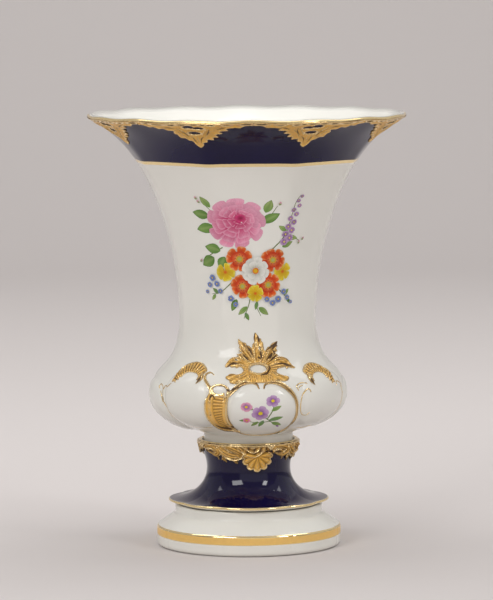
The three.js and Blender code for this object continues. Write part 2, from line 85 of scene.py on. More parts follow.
def around(turn, reach, z):  # points at an angle from the front, a distance from the axis and a height
    return np.stack([reach * np.sin(np.radians(turn)), -reach * np.cos(np.radians(turn)), z], -1)


def outlineOf(line, start):
    # a profile as runs from its point number start, radii, heights and the two parts of its outward normal
    length = lengthAlong(line)
    along = np.gradient(line, length, axis=0)
    along /= np.linalg.norm(along, axis=1)[:, None]
    return dict(run=length - length[start], r=line[:, 0], z=line[:, 1], nr=along[:, 1], nz=-along[:, 0])


def onOutline(outline, run):  # the radius, height and normal of a profile at a run
    return (np.interp(run, outline["run"], outline[key]) for key in ("r", "z", "nr", "nz"))


def ringAt(radial, r, z):  # one row of points round the axis
    made = radial * r
    made[:, 2] = z
    return made


def facesInward(points, faces):  # whether the faces look towards the axis
    a, b, c = (points[faces[:, k]] for k in range(3))
    return (np.cross(b - a, c - a) * a * np.array([1, 1, 0])).sum() < 0


def meshPiece(name, points, faces, material, replaced=(), values=None, colours=None, uv=None):
    # a smooth mesh of equal-sided faces, with its own values, colours and map on the points
    mesh = bpy.data.meshes.new(name)
    points = np.asarray(points, float)
    faces = np.asarray(faces, np.int32)
    mesh.vertices.add(len(points))
    mesh.vertices.foreach_set("co", (points * mm).astype(np.float32).ravel())
    mesh.loops.add(faces.size)
    mesh.loops.foreach_set("vertex_index", faces.ravel())
    mesh.polygons.add(len(faces))
    mesh.polygons.foreach_set("loop_start", np.arange(0, faces.size, faces.shape[1], dtype=np.int32))
    mesh.update(calc_edges=True)
    for key, value in (values or {}).items():
        layer = mesh.attributes.new(key, "FLOAT", "POINT")
        layer.data.foreach_set("value", np.asarray(value, np.float32).ravel())
    for key, value in (colours or {}).items():
        rgba = np.ones((len(points), 4), np.float32)
        rgba[:, :3] = value
        mesh.attributes.new(key, "FLOAT_COLOR", "POINT").data.foreach_set("color", rgba.ravel())
    if uv is not None:
        layer = mesh.uv_layers.new(name="brush")
        layer.data.foreach_set("uv", np.asarray(uv, np.float32)[faces.ravel()].ravel())
    mesh.validate()
    mesh.shade_smooth()
    mesh.materials.append(material)
    piece = bpy.data.objects.new(name, mesh)
    bpy.context.scene.collection.objects.link(piece)
    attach(piece, "root")
    if replaced:
        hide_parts(*replaced)
    return piece


def gridFaces(rows, columns, closedRows=False, closedColumns=False):  # quads of a rows x columns grid
    j = np.arange(rows if closedRows else rows - 1)[:, None]
    i = np.arange(columns if closedColumns else columns - 1)[None, :]
    j1, i1 = (j + 1) % rows, (i + 1) % columns
    return np.stack([j * columns + i, j * columns + i1, j1 * columns + i1, j1 * columns + i], -1).reshape(-1, 4)


def turnedPiece(name, section, material, replaced, columns=192, shape=None, values=None):
    # a closed section of (radius, height), up the outside and down the inside, is turned round the axis
    section = np.array(section, float)
    angle = np.linspace(0, 360, columns, endpoint=False)
    r = np.repeat(section[:, 0][:, None], columns, 1)
    z = np.repeat(section[:, 1][:, None], columns, 1)
    turn = np.repeat(angle[None], len(section), 0)
    if shape:  # moves the radius and height by the angle
        r, z = shape(turn, r, z)
    faces = gridFaces(len(section), columns, True, True)
    return meshPiece(name, around(turn, r, z).reshape(-1, 3), faces, material, replaced, values)


def roundedSection(corners, radius, steps=4):  # a closed outline with each corner rounded by a small curve
    corners = np.array(corners, float)
    out = []
    t = np.linspace(0, 1, steps + 1)[:, None]
    for k in range(len(corners)):
        a, b, c = corners[k - 1], corners[k], corners[(k + 1) % len(corners)]
        reach = min(radius, 0.45 * np.linalg.norm(a - b), 0.45 * np.linalg.norm(c - b))
        start = b + (a - b) / np.linalg.norm(a - b) * reach
        end = b + (c - b) / np.linalg.norm(c - b) * reach
        out.append((1 - t) ** 2 * start + 2 * t * (1 - t) * b + t ** 2 * end)
    return np.vstack(out)


def newMaterial(name):  # a material, its nodes and its one shader
    material = bpy.data.materials.new(name)
    material.use_nodes = True
    tree = material.node_tree
    return material, tree, tree.nodes["Principled BSDF"]


def feed(tree, socket, value):  # a socket takes a plain value, or a link from another node
    if isinstance(value, bpy.types.NodeSocket):
        tree.links.new(value, socket)
    else:
        socket.default_value = value


def node(tree, kind, **settings):  # a node, with its sockets and its own settings filled in
    made = tree.nodes.new(kind)
    for key, value in settings.items():
        if key in made.inputs:
            made.inputs[key].default_value = value
        else:
            setattr(made, key, value)
    return made


def texture(tree, kind, **settings):  # a pattern that lies on the piece's own coordinates
    made = node(tree, kind, **settings)
    tree.links.new(node(tree, "ShaderNodeTexCoord").outputs["Object"], made.inputs["Vector"])
    return made


def onPoints(tree, name, output="Fac"):  # what the mesh carries on its points under that name
    return node(tree, "ShaderNodeAttribute", attribute_name=name).outputs[output]


def calc(tree, operation, *values, clamp=False):
    made = node(tree, "ShaderNodeMath", operation=operation, use_clamp=clamp)
    for socket, value in zip(made.inputs, values):
        feed(tree, socket, value)
    return made.outputs[0]


def scaled(tree, value, factor, offset=0.0, clamp=False):  # value x factor + offset
    return calc(tree, "MULTIPLY_ADD", value, factor, offset, clamp=clamp)


def mixNode(tree, kind, sockets, values):
    made = node(tree, "ShaderNodeMix", data_type=kind)
    for number, value in zip(sockets, values):
        feed(tree, made.inputs[number], value)
    return made


def mixColour(tree, factor, a, b):
    return mixNode(tree, "RGBA", (0, 6, 7), (factor, a, b)).outputs[2]


def mixValue(tree, factor, a, b):
    return mixNode(tree, "FLOAT", (0, 2, 3), (factor, a, b)).outputs[0]


def groupShell(name, inputs, outputs):
    # an empty node group with named sockets. An input that starts as a tuple is a colour
    group = bpy.data.node_groups.new(name, "ShaderNodeTree")
    for label, value in inputs.items():
        kind = "NodeSocketColor" if isinstance(value, tuple) else "NodeSocketFloat"
        group.interface.new_socket(label, in_out="INPUT", socket_type=kind).default_value = value
    for label in outputs:
        kind = "NodeSocketColor" if label == "Colour" else "NodeSocketFloat"
        group.interface.new_socket(label, in_out="OUTPUT", socket_type=kind)
    return group, group.nodes.new("NodeGroupInput").outputs, group.nodes.new("NodeGroupOutput").inputs


def useGroup(tree, group, **values):  # the group in a material, with the material's own values
    made = node(tree, "ShaderNodeGroup", node_tree=group)
    for key, value in values.items():
        feed(tree, made.inputs[key], value)
    return made.outputs


def bumpInto(tree, shader, height, strength, distance):
    bump = node(tree, "ShaderNodeBump", Strength=strength, Distance=distance)
    tree.links.new(height, bump.inputs["Height"])
    tree.links.new(bump.outputs[0], shader.inputs["Normal"])


glaze = dict(
    white=(0.82, 0.80, 0.745, 1), whiteCast=(0.77, 0.76, 0.70, 1), whitePooled=0.45, whiteSpecks=0.12,
    cobalt=(0.0045, 0.002, 0.027, 1), cobaltCast=(0.008, 0.0055, 0.050, 1), cobaltPooled=0.7,
    bare=(0.78, 0.75, 0.69, 1), bareRoughness=0.75, speck=(0.32, 0.28, 0.24, 1), speckSize=0.055,
    poolScale=22.0, peelScale=240.0, speckScale=160.0, bump=0.06, bumpDepth=0.0006)


def makeGlazeTone(g):
    # the glaze pools and thins a little: a broad cast, faint specks and a soft orange-peel height
    group, given, put = groupShell(
        "glazeTone", dict(Colour=(0.8, 0.8, 0.8, 1), Cast=(0.7, 0.7, 0.7, 1), Amount=0.3, Specks=0.2),
        ("Colour", "Height", "Roughness"))
    broad = texture(group, "ShaderNodeTexNoise", Scale=g["poolScale"], Detail=3.0, Roughness=0.5).outputs[0]
    fine = texture(group, "ShaderNodeTexNoise", Scale=g["peelScale"], Detail=2.0, Roughness=0.5).outputs[0]
    dots = texture(group, "ShaderNodeTexVoronoi", Scale=g["speckScale"]).outputs["Distance"]
    pooled = calc(group, "MULTIPLY", scaled(group, broad, 2.2, -0.6, clamp=True), given["Amount"])
    toned = mixColour(group, pooled, given["Colour"], given["Cast"])
    speck = calc(group, "MULTIPLY", calc(group, "LESS_THAN", dots, g["speckSize"]), given["Specks"])
    feed(group, put["Colour"], mixColour(group, speck, toned, g["speck"]))
    feed(group, put["Height"], calc(group, "ADD", scaled(group, broad, 0.8), scaled(group, fine, 0.12)))
    feed(group, put["Roughness"], scaled(group, fine, 0.05, 0.05))
    return group


gilt = dict(
    matt=(1.0, 0.575, 0.095, 1), bright=(1.0, 0.83, 0.47, 1), thin=(0.44, 0.17, 0.025, 1),
    # painted shade: a dark brown for shade and dark reflections in the relief's hollows, cuts and grooves
    paintedGrooveShade=(0.050, 0.018, 0.004, 1),
    rubScale=380.0, dustScale=2600.0, roughness=(0.45, 0.10), metal=(0.30, 0.90),  # matt gold, then burnished
    # the band's grain and burnish, then how strongly the painted shade darkens the relief gold and dulls its metal
    bandGrain=0.12, bandBurnish=0.9, railBurnish=0.95, railMatt=-0.65, paintedShadeStrength=0.96, paintedShadeDulling=-0.8,
    bump=0.5, bumpDepth=0.0004)


def makeGildTone(g):
    # matt chased gold and burnished edges, with a slight redness where it is thin and hand rubbing
    group, given, put = groupShell(
        "gildTone", dict(Burnish=0.0, Matt=(0.7, 0.4, 0.1, 1), Bright=(0.9, 0.6, 0.2, 1), Grain=1.0),
        ("Colour", "Roughness", "Metal", "Height"))
    rub = texture(group, "ShaderNodeTexNoise", Scale=g["rubScale"], Detail=5.0, Roughness=0.65).outputs[0]
    dust = texture(group, "ShaderNodeTexNoise", Scale=g["dustScale"], Detail=2.0, Roughness=0.6).outputs[0]
    worn = scaled(group, rub, 1.8, -0.4, clamp=True)
    uneven = calc(group, "MULTIPLY", scaled(group, rub, 1.1, -0.55), given["Grain"])
    shine = calc(group, "ADD", given["Burnish"], uneven, clamp=True)
    base = mixColour(group, shine, given["Matt"], given["Bright"])
    rubbed = calc(group, "MULTIPLY", worn, scaled(group, given["Grain"], 0.5, 0.1))
    feed(group, put["Colour"], mixColour(group, rubbed, base, g["thin"]))
    feed(group, put["Roughness"], mixValue(group, shine, *g["roughness"]))
    feed(group, put["Metal"], mixValue(group, shine, *g["metal"]))
    quiet = calc(group, "SUBTRACT", 1.0, shine, clamp=True)
    crinkled = scaled(group, rub, 1.6, calc(group, "MULTIPLY", dust, quiet))
    feed(group, put["Height"], calc(group, "MULTIPLY", crinkled, given["Grain"]))
    return group


glazeTone = makeGlazeTone(glaze)
gildTone = makeGildTone(gilt)


def inBands(tree, bands):  # 1 where the piece's run lies between the limits of any band
    whole = None
    for low, high in bands:
        run = onPoints(tree, "run")
        mask = calc(tree, "MULTIPLY", calc(tree, "GREATER_THAN", run, low), calc(tree, "LESS_THAN", run, high))
        whole = mask if whole is None else calc(tree, "MAXIMUM", whole, mask)
    return whole


def porcelainMaterial(name, specular, cobaltBands, goldBands, bisqueBands=(), mattBands=()):
    # white glaze, with cobalt, gold and bare porcelain where the piece's run lies in the bands
    material, tree, shader = newMaterial(name)
    white = useGroup(tree, glazeTone, Colour=glaze["white"], Cast=glaze["whiteCast"], Amount=glaze["whitePooled"],
                     Specks=glaze["whiteSpecks"])
    colour, rough = white["Colour"], white["Roughness"]
    if cobaltBands:
        blue = useGroup(tree, glazeTone, Colour=glaze["cobalt"], Cast=glaze["cobaltCast"],
                        Amount=glaze["cobaltPooled"], Specks=0.0)
        colour = mixColour(tree, inBands(tree, cobaltBands), colour, blue["Colour"])
    if bisqueBands:
        bare = inBands(tree, bisqueBands)
        colour = mixColour(tree, bare, colour, glaze["bare"])
        rough = mixValue(tree, bare, rough, glaze["bareRoughness"])
    if goldBands:
        metal = inBands(tree, goldBands)
        burnish = gilt["bandBurnish"]
        if mattBands:
            burnish = scaled(tree, inBands(tree, mattBands), gilt["railMatt"], gilt["railBurnish"])
        gold = useGroup(tree, gildTone, Burnish=burnish, Matt=gilt["matt"], Bright=gilt["bright"],
                        Grain=gilt["bandGrain"])
        colour = mixColour(tree, metal, colour, gold["Colour"])
        rough = mixValue(tree, metal, rough, gold["Roughness"])
        feed(tree, shader.inputs["Metallic"], calc(tree, "MULTIPLY", metal, gold["Metal"]))
    feed(tree, shader.inputs["Base Color"], colour)
    feed(tree, shader.inputs["Roughness"], rough)
    shader.inputs["Specular IOR Level"].default_value = specular
    bumpInto(tree, shader, white["Height"], glaze["bump"], glaze["bumpDepth"])
    return material


def gildingMaterial(g):
    # gold that follows the relief's own burnish, darkened to a brown with painted shade where the relief's points carry
    # it
    material, tree, shader = newMaterial("reliefGold")
    paintedShade = onPoints(tree, "paintedShade")
    gold = useGroup(tree, gildTone, Burnish=onPoints(tree, "burnish"), Matt=g["matt"], Bright=g["bright"], Grain=1.0)
    shade = scaled(tree, paintedShade, g["paintedShadeStrength"])
    feed(tree, shader.inputs["Base Color"], mixColour(tree, shade, gold["Colour"], g["paintedGrooveShade"]))
    feed(tree, shader.inputs["Roughness"], gold["Roughness"])
    feed(tree, shader.inputs["Metallic"], scaled(tree, paintedShade, g["paintedShadeDulling"], gold["Metal"], clamp=True))
    bumpInto(tree, shader, gold["Height"], g["bump"], g["bumpDepth"])
    return material


enamelPaint = dict(streaks=(9.0, 1.6, 1.0), saturation=1.15, darkness=0.72, specular=0.33, bump=0.15, bumpDepth=0.0001)


def enamelMaterial(e):
    # painted enamel: the colours lie on the points, and the brush leaves streaks along each petal
    material, tree, shader = newMaterial("flowerEnamel")
    tint = onPoints(tree, "tint", "Color")
    stretch = node(tree, "ShaderNodeMapping", Scale=e["streaks"])
    feed(tree, stretch.inputs["Vector"], node(tree, "ShaderNodeUVMap", uv_map="brush").outputs[0])
    noise = node(tree, "ShaderNodeTexNoise", Scale=1.0, Detail=3.0, Roughness=0.6)
    feed(tree, noise.inputs["Vector"], stretch.outputs[0])
    streak = noise.outputs[0]
    darker = node(tree, "ShaderNodeHueSaturation", Saturation=e["saturation"], Value=e["darkness"])
    feed(tree, darker.inputs["Color"], tint)
    strength = scaled(tree, streak, 1.5, -0.35, clamp=True)
    feed(tree, shader.inputs["Base Color"], mixColour(tree, strength, darker.outputs[0], tint))
    feed(tree, shader.inputs["Roughness"], scaled(tree, streak, 0.12, 0.12))
    shader.inputs["Specular IOR Level"].default_value = e["specular"]
    bumpInto(tree, shader, streak, e["bump"], e["bumpDepth"])
    return material


def metalMaterial(name, colour, worn, roughness):
    # turned brass: fine rings about the axis, and darker patches in the grain
    material, tree, shader = newMaterial(name)
    patches = texture(tree, "ShaderNodeTexNoise", Scale=180.0, Detail=4.0).outputs[0]
    rings = texture(tree, "ShaderNodeTexWave", wave_type="RINGS", rings_direction="Z", Scale=900.0, Distortion=0.6)
    dark = scaled(tree, patches, 2.0, -0.6, clamp=True)
    feed(tree, shader.inputs["Base Color"], mixColour(tree, dark, colour, worn))
    feed(tree, shader.inputs["Roughness"], scaled(tree, patches, 0.25, roughness - 0.1))
    shader.inputs["Metallic"].default_value = 1.0
    bumpInto(tree, shader, rings.outputs["Fac"], 0.15, 0.0001)
    return material


def washerMaterial(name, colour, speck, scale, strength):
    # rubber or felt: a mottled colour and a fibrous or grainy height
    material, tree, shader = newMaterial(name)
    mottle = texture(tree, "ShaderNodeTexNoise", Scale=scale, Detail=5.0, Roughness=0.7).outputs[0]
    feed(tree, shader.inputs["Base Color"], mixColour(tree, mottle, colour, speck))
    feed(tree, shader.inputs["Roughness"], scaled(tree, mottle, 0.2, 0.7))
    bumpInto(tree, shader, mottle, strength, 0.0003)
    return material


goldMaterial = gildingMaterial(gilt)
enamel = enamelMaterial(enamelPaint)
brassMaterial = metalMaterial("boltBrass", (0.60, 0.42, 0.17, 1), (0.36, 0.22, 0.09, 1), 0.32)
rubberMaterial = washerMaterial("gasketRubber", (0.018, 0.018, 0.017, 1), (0.045, 0.043, 0.04, 1), 500.0, 0.3)
feltMaterial = washerMaterial("seatFelt", (0.34, 0.30, 0.23, 1), (0.52, 0.47, 0.38, 1), 900.0, 0.8)
print("materials made")


vessel = dict(
    height=360.0, rimRadius=132.6, rimThickness=2.6, rimScallop=0.45, rimFade=30, bandHeight=322.0, bandRadius=92.6,
    waistHeight=190.0, waistRadius=57.6, bellyHeight=129.5, bellyRadius=80.4, neckTop=95.5, neckRadius=37.5,
    wall=4.2, floorTop=100.8, floorUnder=89.8, footBottom=86.8, footWidth=6.0, panelCount=8, ribHeight=0.75,
    panelHollow=0.5, cushionHeight=3.1, boltHole=4.8, goldLine=3.1, bandLift=2.8, rimGold=(0.9, 1.5),
    specular=0.26, columns=360)


def skinOutline(v):
    # four curves from the neck under the belly to the rim. Runs are 0 at the belly's widest height
    def step(angle, length):
        return np.array([math.sin(math.radians(angle)), math.cos(math.radians(angle))]) * length
    rim = np.array([v["rimRadius"], v["height"] - v["rimScallop"]])
    band = np.array([v["bandRadius"], v["bandHeight"]])
    waist = np.array([v["waistRadius"], v["waistHeight"]])
    belly = np.array([v["bellyRadius"], v["bellyHeight"]])
    neck = np.array([v["neckRadius"] + 1, v["neckTop"]])
    drop, rise = belly[1] - neck[1], waist[1] - belly[1]
    trunk, flare = band[1] - waist[1], rim[1] - band[1]
    tuck = (v["neckRadius"] + 0.42 * (belly[0] - v["neckRadius"]), neck[1] + 0.17 * drop)
    parts = [
        bezier(neck, tuck, (belly[0], belly[1] - 0.6 * drop), belly, 400),
        bezier(belly, (belly[0], belly[1] + 0.45 * rise), (waist[0], waist[1] - 0.73 * rise), waist, 500)[1:],
        bezier(waist, (waist[0], waist[1] + 0.37 * trunk), band - step(33, 0.29 * trunk), band, 600)[1:],
        bezier(band, band + step(33, 0.54 * flare), rim - step(57, 0.6 * flare), rim, 400)[1:]]
    bellyAt, waistAt, bandAt, _ = np.cumsum([len(p) for p in parts]) - 1
    made = outlineOf(np.vstack(parts), bellyAt)
    run = made["run"]
    return dict(made, low=run[0], waist=run[waistAt], band=run[bandAt], rim=run[-1])


skin = skinOutline(vessel)
framed = dict(offset=7.0, half=21.5, centre=-18.5, rise=30.5, height=1.0)
plain = dict(centre=-5.0, rise=29.0, height=0.85)
faceTurns = (0, 90, 180, 270)
gildedFaces = dict(front=0, back=180)  # the two that bear a frame, a palmette and a shell
cornerCushions = dict(  # angle, half width and the side that the crescent's hook lies on
    front_right=(52, 20.5, -1), back_right=(136, 17, 1), back_left=(232, 20.5, -1), front_left=(316, 17, 1))


def turnFrom(turn, centre):  # the angle from a centre, -180 to 180
    return (turn - centre + 180) % 360 - 180


def swell(turn, run):
    # cushions round the belly, (1 - share^3.2)^0.62 high, and soft ribs and hollow panels up the trunk
    out = np.zeros(np.broadcast(turn, run).shape)

    def cushion(centre, half, spec):
        across = np.abs(turnFrom(turn, centre)) / half
        up = np.abs(run - spec["centre"]) / spec["rise"]
        share = (across ** 2.7 + up ** 2.7) ** (1 / 2.7)
        return spec["height"] * vessel["cushionHeight"] * np.clip(1 - share ** 3.2, 0, 1) ** 0.62
    for face in faceTurns:
        out = np.maximum(out, cushion(face + framed["offset"], framed["half"], framed))
    for centre, half, _ in cornerCushions.values():
        out = np.maximum(out, cushion(centre, half, plain))
    wave = np.cos(np.radians(vessel["panelCount"] * turn))
    fade = 1 - 0.75 * smooth(skin["band"] - 12, skin["rim"], run)
    rib = vessel["ribHeight"] * ((1 - wave) / 2) ** 7 - vessel["panelHollow"] * (1 + wave) / 2
    return out + smooth(0.6 * skin["waist"], skin["waist"], run) * fade * rib


def rimWave(turn, run):  # sixteen scallops that fade in under the rim, with a slow unevenness of a quarter
    fade = smooth(skin["rim"] - vessel["rimFade"], skin["rim"], run)
    uneven = 0.25 * np.cos(np.radians(8 * turn + 25))
    return fade * vessel["rimScallop"] * (np.cos(np.radians(16 * turn)) + uneven)


def overSkin(turn, run, lift):
    # the point at an angle from the front and a run up the outline, lifted along its normal
    turn, run, lift = np.broadcast_arrays(*(np.asarray(given, float) for given in (turn, run, lift)))
    r, z, nr, nz = onOutline(skin, run)
    out = swell(turn, run) + lift
    return around(turn, r + nr * out, z + nz * out + rimWave(turn, run))


def skinRadius(run):
    return np.interp(run, skin["run"], skin["r"])


def makeVessel(v):
    # rows: up the outside, over the rim, down the inside, across the floor, the bolt hole, the foot ring and the neck
    turn = np.arange(v["columns"]) * 360.0 / v["columns"]
    radial = around(turn, 1.0, 0 * turn)
    up = np.array([0, 0, 1.0])
    runs = np.concatenate([np.linspace(skin["low"], skin["waist"], 104, endpoint=False),
                           np.linspace(skin["waist"], skin["band"], 40, endpoint=False),
                           np.linspace(skin["band"], skin["rim"], 24)])
    outside = overSkin(turn[None, :], runs[:, None], 0.0)
    tip = v["rimThickness"]
    lip = []
    for k in range(1, 8):  # a half round from the outer edge to the inner one
        a = math.pi * k / 8
        back = radial * (0.42 * tip * (1 - math.cos(a)))
        lip.append(outside[-1] - back + up * (0.42 * tip * math.sin(a)) + up * (0.35 * tip * k / 8))
    inner = runs[::-3]
    inner = inner[np.interp(inner, skin["run"], skin["z"]) > v["floorTop"] + 6]
    wall = v["wall"] + (tip - v["wall"]) * smooth(skin["waist"], skin["rim"], inner)
    inside = []
    for run, thick in zip(inner, wall):
        r, z, nr, nz = onOutline(skin, run)
        inside.append(ringAt(radial, r - nr * thick, z - nz * thick + rimWave(turn, run)))
    floorEdge = np.linalg.norm(inside[-1][0][:2])
    floorZ = inside[-1][0][2]
    top, below, foot = v["floorTop"], v["floorUnder"], v["footBottom"]
    bend = bezier((floorEdge, floorZ), (floorEdge - 3, top + 1.0), (0.85 * floorEdge, top), (0.62 * floorEdge, top), 9)
    step = v["neckRadius"] - v["footWidth"]
    edge = v["neckRadius"]
    floor = [*bend[1:], *[(r, top) for r in (20, 12, v["boltHole"] + 0.4)]]
    hole = [(v["boltHole"], top - 0.4), (v["boltHole"], below)]
    under = [(12, below), (step - 0.6, below), (step, below - 0.6), (step, foot + 0.5), (step + 0.5, foot),
             (edge - 0.7, foot), (edge, foot + 0.7)]
    neck = [*[(edge, z) for z in np.linspace(foot + 1.2, v["neckTop"] - 2.0, 6)], (edge + 0.25, v["neckTop"] - 0.8)]
    rows = [*outside, *lip, *inside, *[ringAt(radial, r, z) for r, z in (*floor, *hole, *under, *neck)]]
    cobaltLow, cobaltHigh = skin["band"] + v["bandLift"], skin["rim"] - v["rimGold"][0]
    bare = 950.0  # the run that marks unglazed porcelain, as 900 marks the glazed floor
    value = np.concatenate([
        runs, np.linspace(skin["rim"] + 0.1, skin["rim"] + 2.4, len(lip)), skin["rim"] + 3 + np.arange(len(inside)),
        np.full(len(floor) + len(hole) + 2, 900.0), np.full(len(under) - 2, bare), np.full(len(neck), skin["low"] - 1)])
    gold = [(cobaltLow - v["goldLine"], cobaltLow), (cobaltHigh, skin["rim"] + v["rimGold"][1])]
    material = porcelainMaterial(
        "vesselGlaze", v["specular"], [(cobaltLow, cobaltHigh)], gold, [(bare - 10, bare + 10)])
    meshPiece("vessel_porcelain", np.stack(rows).reshape(-1, 3), gridFaces(len(rows), v["columns"], True, True),
              material, ["vessel"], dict(run=np.repeat(value, v["columns"])))


makeVessel(vessel)
print("vessel made")


stem = dict(deck=85.0, deckThick=6.0, collarHeight=88.6, collarWall=3.4, collarRadius=41.7, waistRadius=35.0,
            waistHeight=65.5, wall=5.0, lipRadius=63.4, lipHeight=39.4, lipThick=2.0, bottom=35.6, innerFoot=48.0,
            neckRadius=61.5, wideLobe=3.4, narrowLobe=2.3, boltHole=4.8, specular=0.40, columns=360)


def stemOutline(s):  # two curves, from the lip up to the waist and on to the collar. Runs are 0 at the collar's edge
    lip = np.array([s["lipRadius"], s["lipHeight"]])
    waist = np.array([s["waistRadius"], s["waistHeight"]])
    top = np.array([s["collarRadius"], s["collarHeight"]])
    flare = bezier(lip, (lip[0] - 0.52 * (lip[0] - waist[0]), lip[1]),
                   (waist[0], waist[1] - 0.63 * (waist[1] - lip[1])), waist, 120)
    throat = bezier(waist, (waist[0], waist[1] + 0.4 * (top[1] - waist[1])),
                    (top[0] - 0.25 * (top[0] - waist[0]), top[1] - 6), top, 80)[1:]
    return outlineOf(np.vstack([flare, throat]), -1)


stemSkin = stemOutline(stem)


def lobe(turn):  # four wide lobes and four narrow ones, each 1 - x^2 across, with a sharp notch between
    off = np.abs(turnFrom(turn, np.round(turn / 90) * 90))
    wide = stem["wideLobe"] * (1 - (off / 30) ** 2)
    narrow = stem["narrowLobe"] * (1 - ((45 - off) / 15) ** 2)
    return np.where(off <= 30, wide, narrow)


def overStem(turn, run, lift):  # run is 0 at the collar's edge and falls down the stem, and the lobes grow to the lip
    turn, run, lift = np.broadcast_arrays(*(np.asarray(given, float) for given in (turn, run, lift)))
    r, z, nr, nz = onOutline(stemSkin, run)
    flared = np.clip((r - stem["waistRadius"]) / (stem["lipRadius"] - stem["waistRadius"]), 0, 1)
    share = flared * (z < stem["waistHeight"])
    return around(turn, r + nr * lift + lobe(turn) * share ** 1.15, z + nz * lift)


def makeStem(s):
    # rows: under the foot, round the lip, up the outside, over the collar to the deck, the bolt hole and the hollow
    turn = np.arange(s["columns"]) * 360.0 / s["columns"]
    radial = around(turn, 1.0, 0 * turn)
    lipOut = lobe(turn)[:, None] * radial
    runs = np.linspace(stemSkin["run"][0], 0, 110)
    outside = overStem(turn[None, :], runs[:, None], 0.0)
    bottom, top, deck, hole, neck = s["bottom"], s["collarHeight"], s["deck"], s["boltHole"], s["neckRadius"]

    def ring(r, z, lobes=0.0):
        made = radial * r + lipOut * lobes
        made[:, 2] = z
        return made
    under = [ring(s["innerFoot"] + 0.5, bottom), ring(neck - 2, bottom), ring(neck - 1.2, bottom + 0.5, 0.3),
             ring(s["lipRadius"] - 1.0, s["lipHeight"] - s["lipThick"], 0.8)]
    edge = []
    for k in range(8):  # the lip's rounded edge
        a = math.pi * (k + 0.5) / 8
        edge.append(ring(s["lipRadius"] - 0.5 + math.sin(a) * 0.9, s["lipHeight"] - 1.0 - math.cos(a) * 0.98, 1.0))
    outer, inner = s["collarRadius"], s["collarRadius"] - s["collarWall"]
    brim = [ring(outer - 0.5, top + 0.5), ring(outer - 1.6, top + 0.8), ring(inner + 0.9, top + 0.5)]
    down = [ring(inner, top - 0.4), ring(inner, deck + 0.3), ring(inner - 0.4, deck), ring(20, deck), ring(hole, deck)]
    hollow, bore = deck - s["deckThick"], s["waistRadius"] - s["wall"]
    inside = [ring(hole, hollow), ring(18, hollow), ring(bore - 3.5, hollow), ring(bore - 1.5, hollow - 2)]
    bell = bezier((bore - 1, hollow - 6), (bore, s["waistHeight"] - 4), (bore + 2, s["lipHeight"] + 6),
                  (s["innerFoot"] - 1.5, bottom + 1.5), 16)
    inside += [ring(r, z) for r, z in bell]
    rows = [*under, *edge, *outside[1:], *brim, *down, *inside]
    value = np.concatenate([np.full(len(under), -600.0), np.full(len(edge), -500.0), runs[1:] - 0.001,
                            np.full(len(brim), 2.0), np.full(len(down) + len(inside), 200.0)])
    first = stemSkin["run"][0]
    material = porcelainMaterial(
        "stemGlaze", s["specular"], [(first - 1, 0)], [(-550, -450), (first - 1, first + 0.5), (0, 50)],
        [(100, 300), (-650, -550)])
    meshPiece("stem_porcelain", np.stack(rows).reshape(-1, 3), gridFaces(len(rows), s["columns"], True, True),
              material, ["stem"], dict(run=np.repeat(value, s["columns"])))


plinth = dict(top=34.8, neckRadius=61.5, radius=76.9, shoulder=17.4, wall=9.0, plate=7.0, rebate=1.0, seat=56.6,
              boltHole=4.8, corner=1.8, slopeTop=27.9, bandLow=9.6, bandHigh=17.9, nick=0.55, nickWidth=1.1,
              specular=0.33, columns=288)


def makePlinth(p):
    # section: under the wall, up the side, over the corner and shelf, the neck, the seat and the hollow underneath
    n, r, sh, c, slope = p["neckRadius"], p["radius"], p["shoulder"], p["corner"], p["slopeTop"]
    top, wall, seatEdge = p["top"], p["wall"], p["seat"]
    sunk = top - p["rebate"]
    bottom = [(r - wall + 0.6, 0.0), (r - 5.0, 0.0), (r - 3.2, 0.15), (r - 1.4, 0.9), (r - 0.3, 2.0), (r, 3.4)]
    side = [(r, z) for z in np.linspace(4.5, sh - c, 26)]
    corner = bezier((r, sh - c), (r, sh - 0.3 * c), (r - 0.4 * c, sh + 0.1), (r - 1.3 * c, sh + 0.55 * c), 9)[1:]
    shelf = bezier(corner[-1], (r - 6, sh + 3.6), (n + 5, slope - 3.2), (n + 0.9, slope - 0.9), 16)[1:]
    neck = [(n + 0.25, slope + 0.2), *[(n, z) for z in np.linspace(slope + 1.6, top - 0.7, 5)]]
    seat = [(n - 0.7, top), (seatEdge + 0.4, top), (seatEdge, top - 0.4), (seatEdge - 0.2, sunk), (30, sunk),
            (p["boltHole"], sunk)]
    plate = top - p["plate"] - p["rebate"]
    hollow = [(p["boltHole"], plate), (28, plate), (n - wall - 3, plate), (n - wall, plate - 2.5),
              (r - wall - 2.2, sh - 4.5), (r - wall, sh - 8), (r - wall, 7.0), (r - wall, 0.8)]
    section = np.array([*bottom, *side, *corner, *shelf, *neck, *seat, *hollow])
    steps = np.linalg.norm(np.diff(np.vstack([side[-1], corner]), axis=0), axis=1)
    value = np.concatenate([
        np.full(3, -10.0), [1.0, 2.0, 3.4], [z for _, z in side], sh - c + np.cumsum(steps),
        np.full(len(shelf) + len(neck), 60.0), np.full(len(seat), 70.0), np.full(len(hollow) - 1, 75.0), [-10.0]])
    low, high = p["bandLow"], p["bandHigh"]
    material = porcelainMaterial("plinthGlaze", p["specular"], [], [(low, high)], [(-20, -1)],
                                 [(low + 0.5, high - 2.0)])

    def nicked(angle, radius, z):  # eight shallow nicks down the side, in line with the ribs of the trunk
        off = np.abs(turnFrom(angle * 8, 204)) / 8
        outer = (radius > r - 2.5) & (z > 1)
        return radius - p["nick"] * np.exp(-(off / p["nickWidth"]) ** 2) * outer, z
    turnedPiece("plinth_porcelain", section, material, ["plinth"], p["columns"], nicked,
                dict(run=np.repeat(value, p["columns"])))


makeStem(stem)
makePlinth(plinth)
print("stem and plinth made")


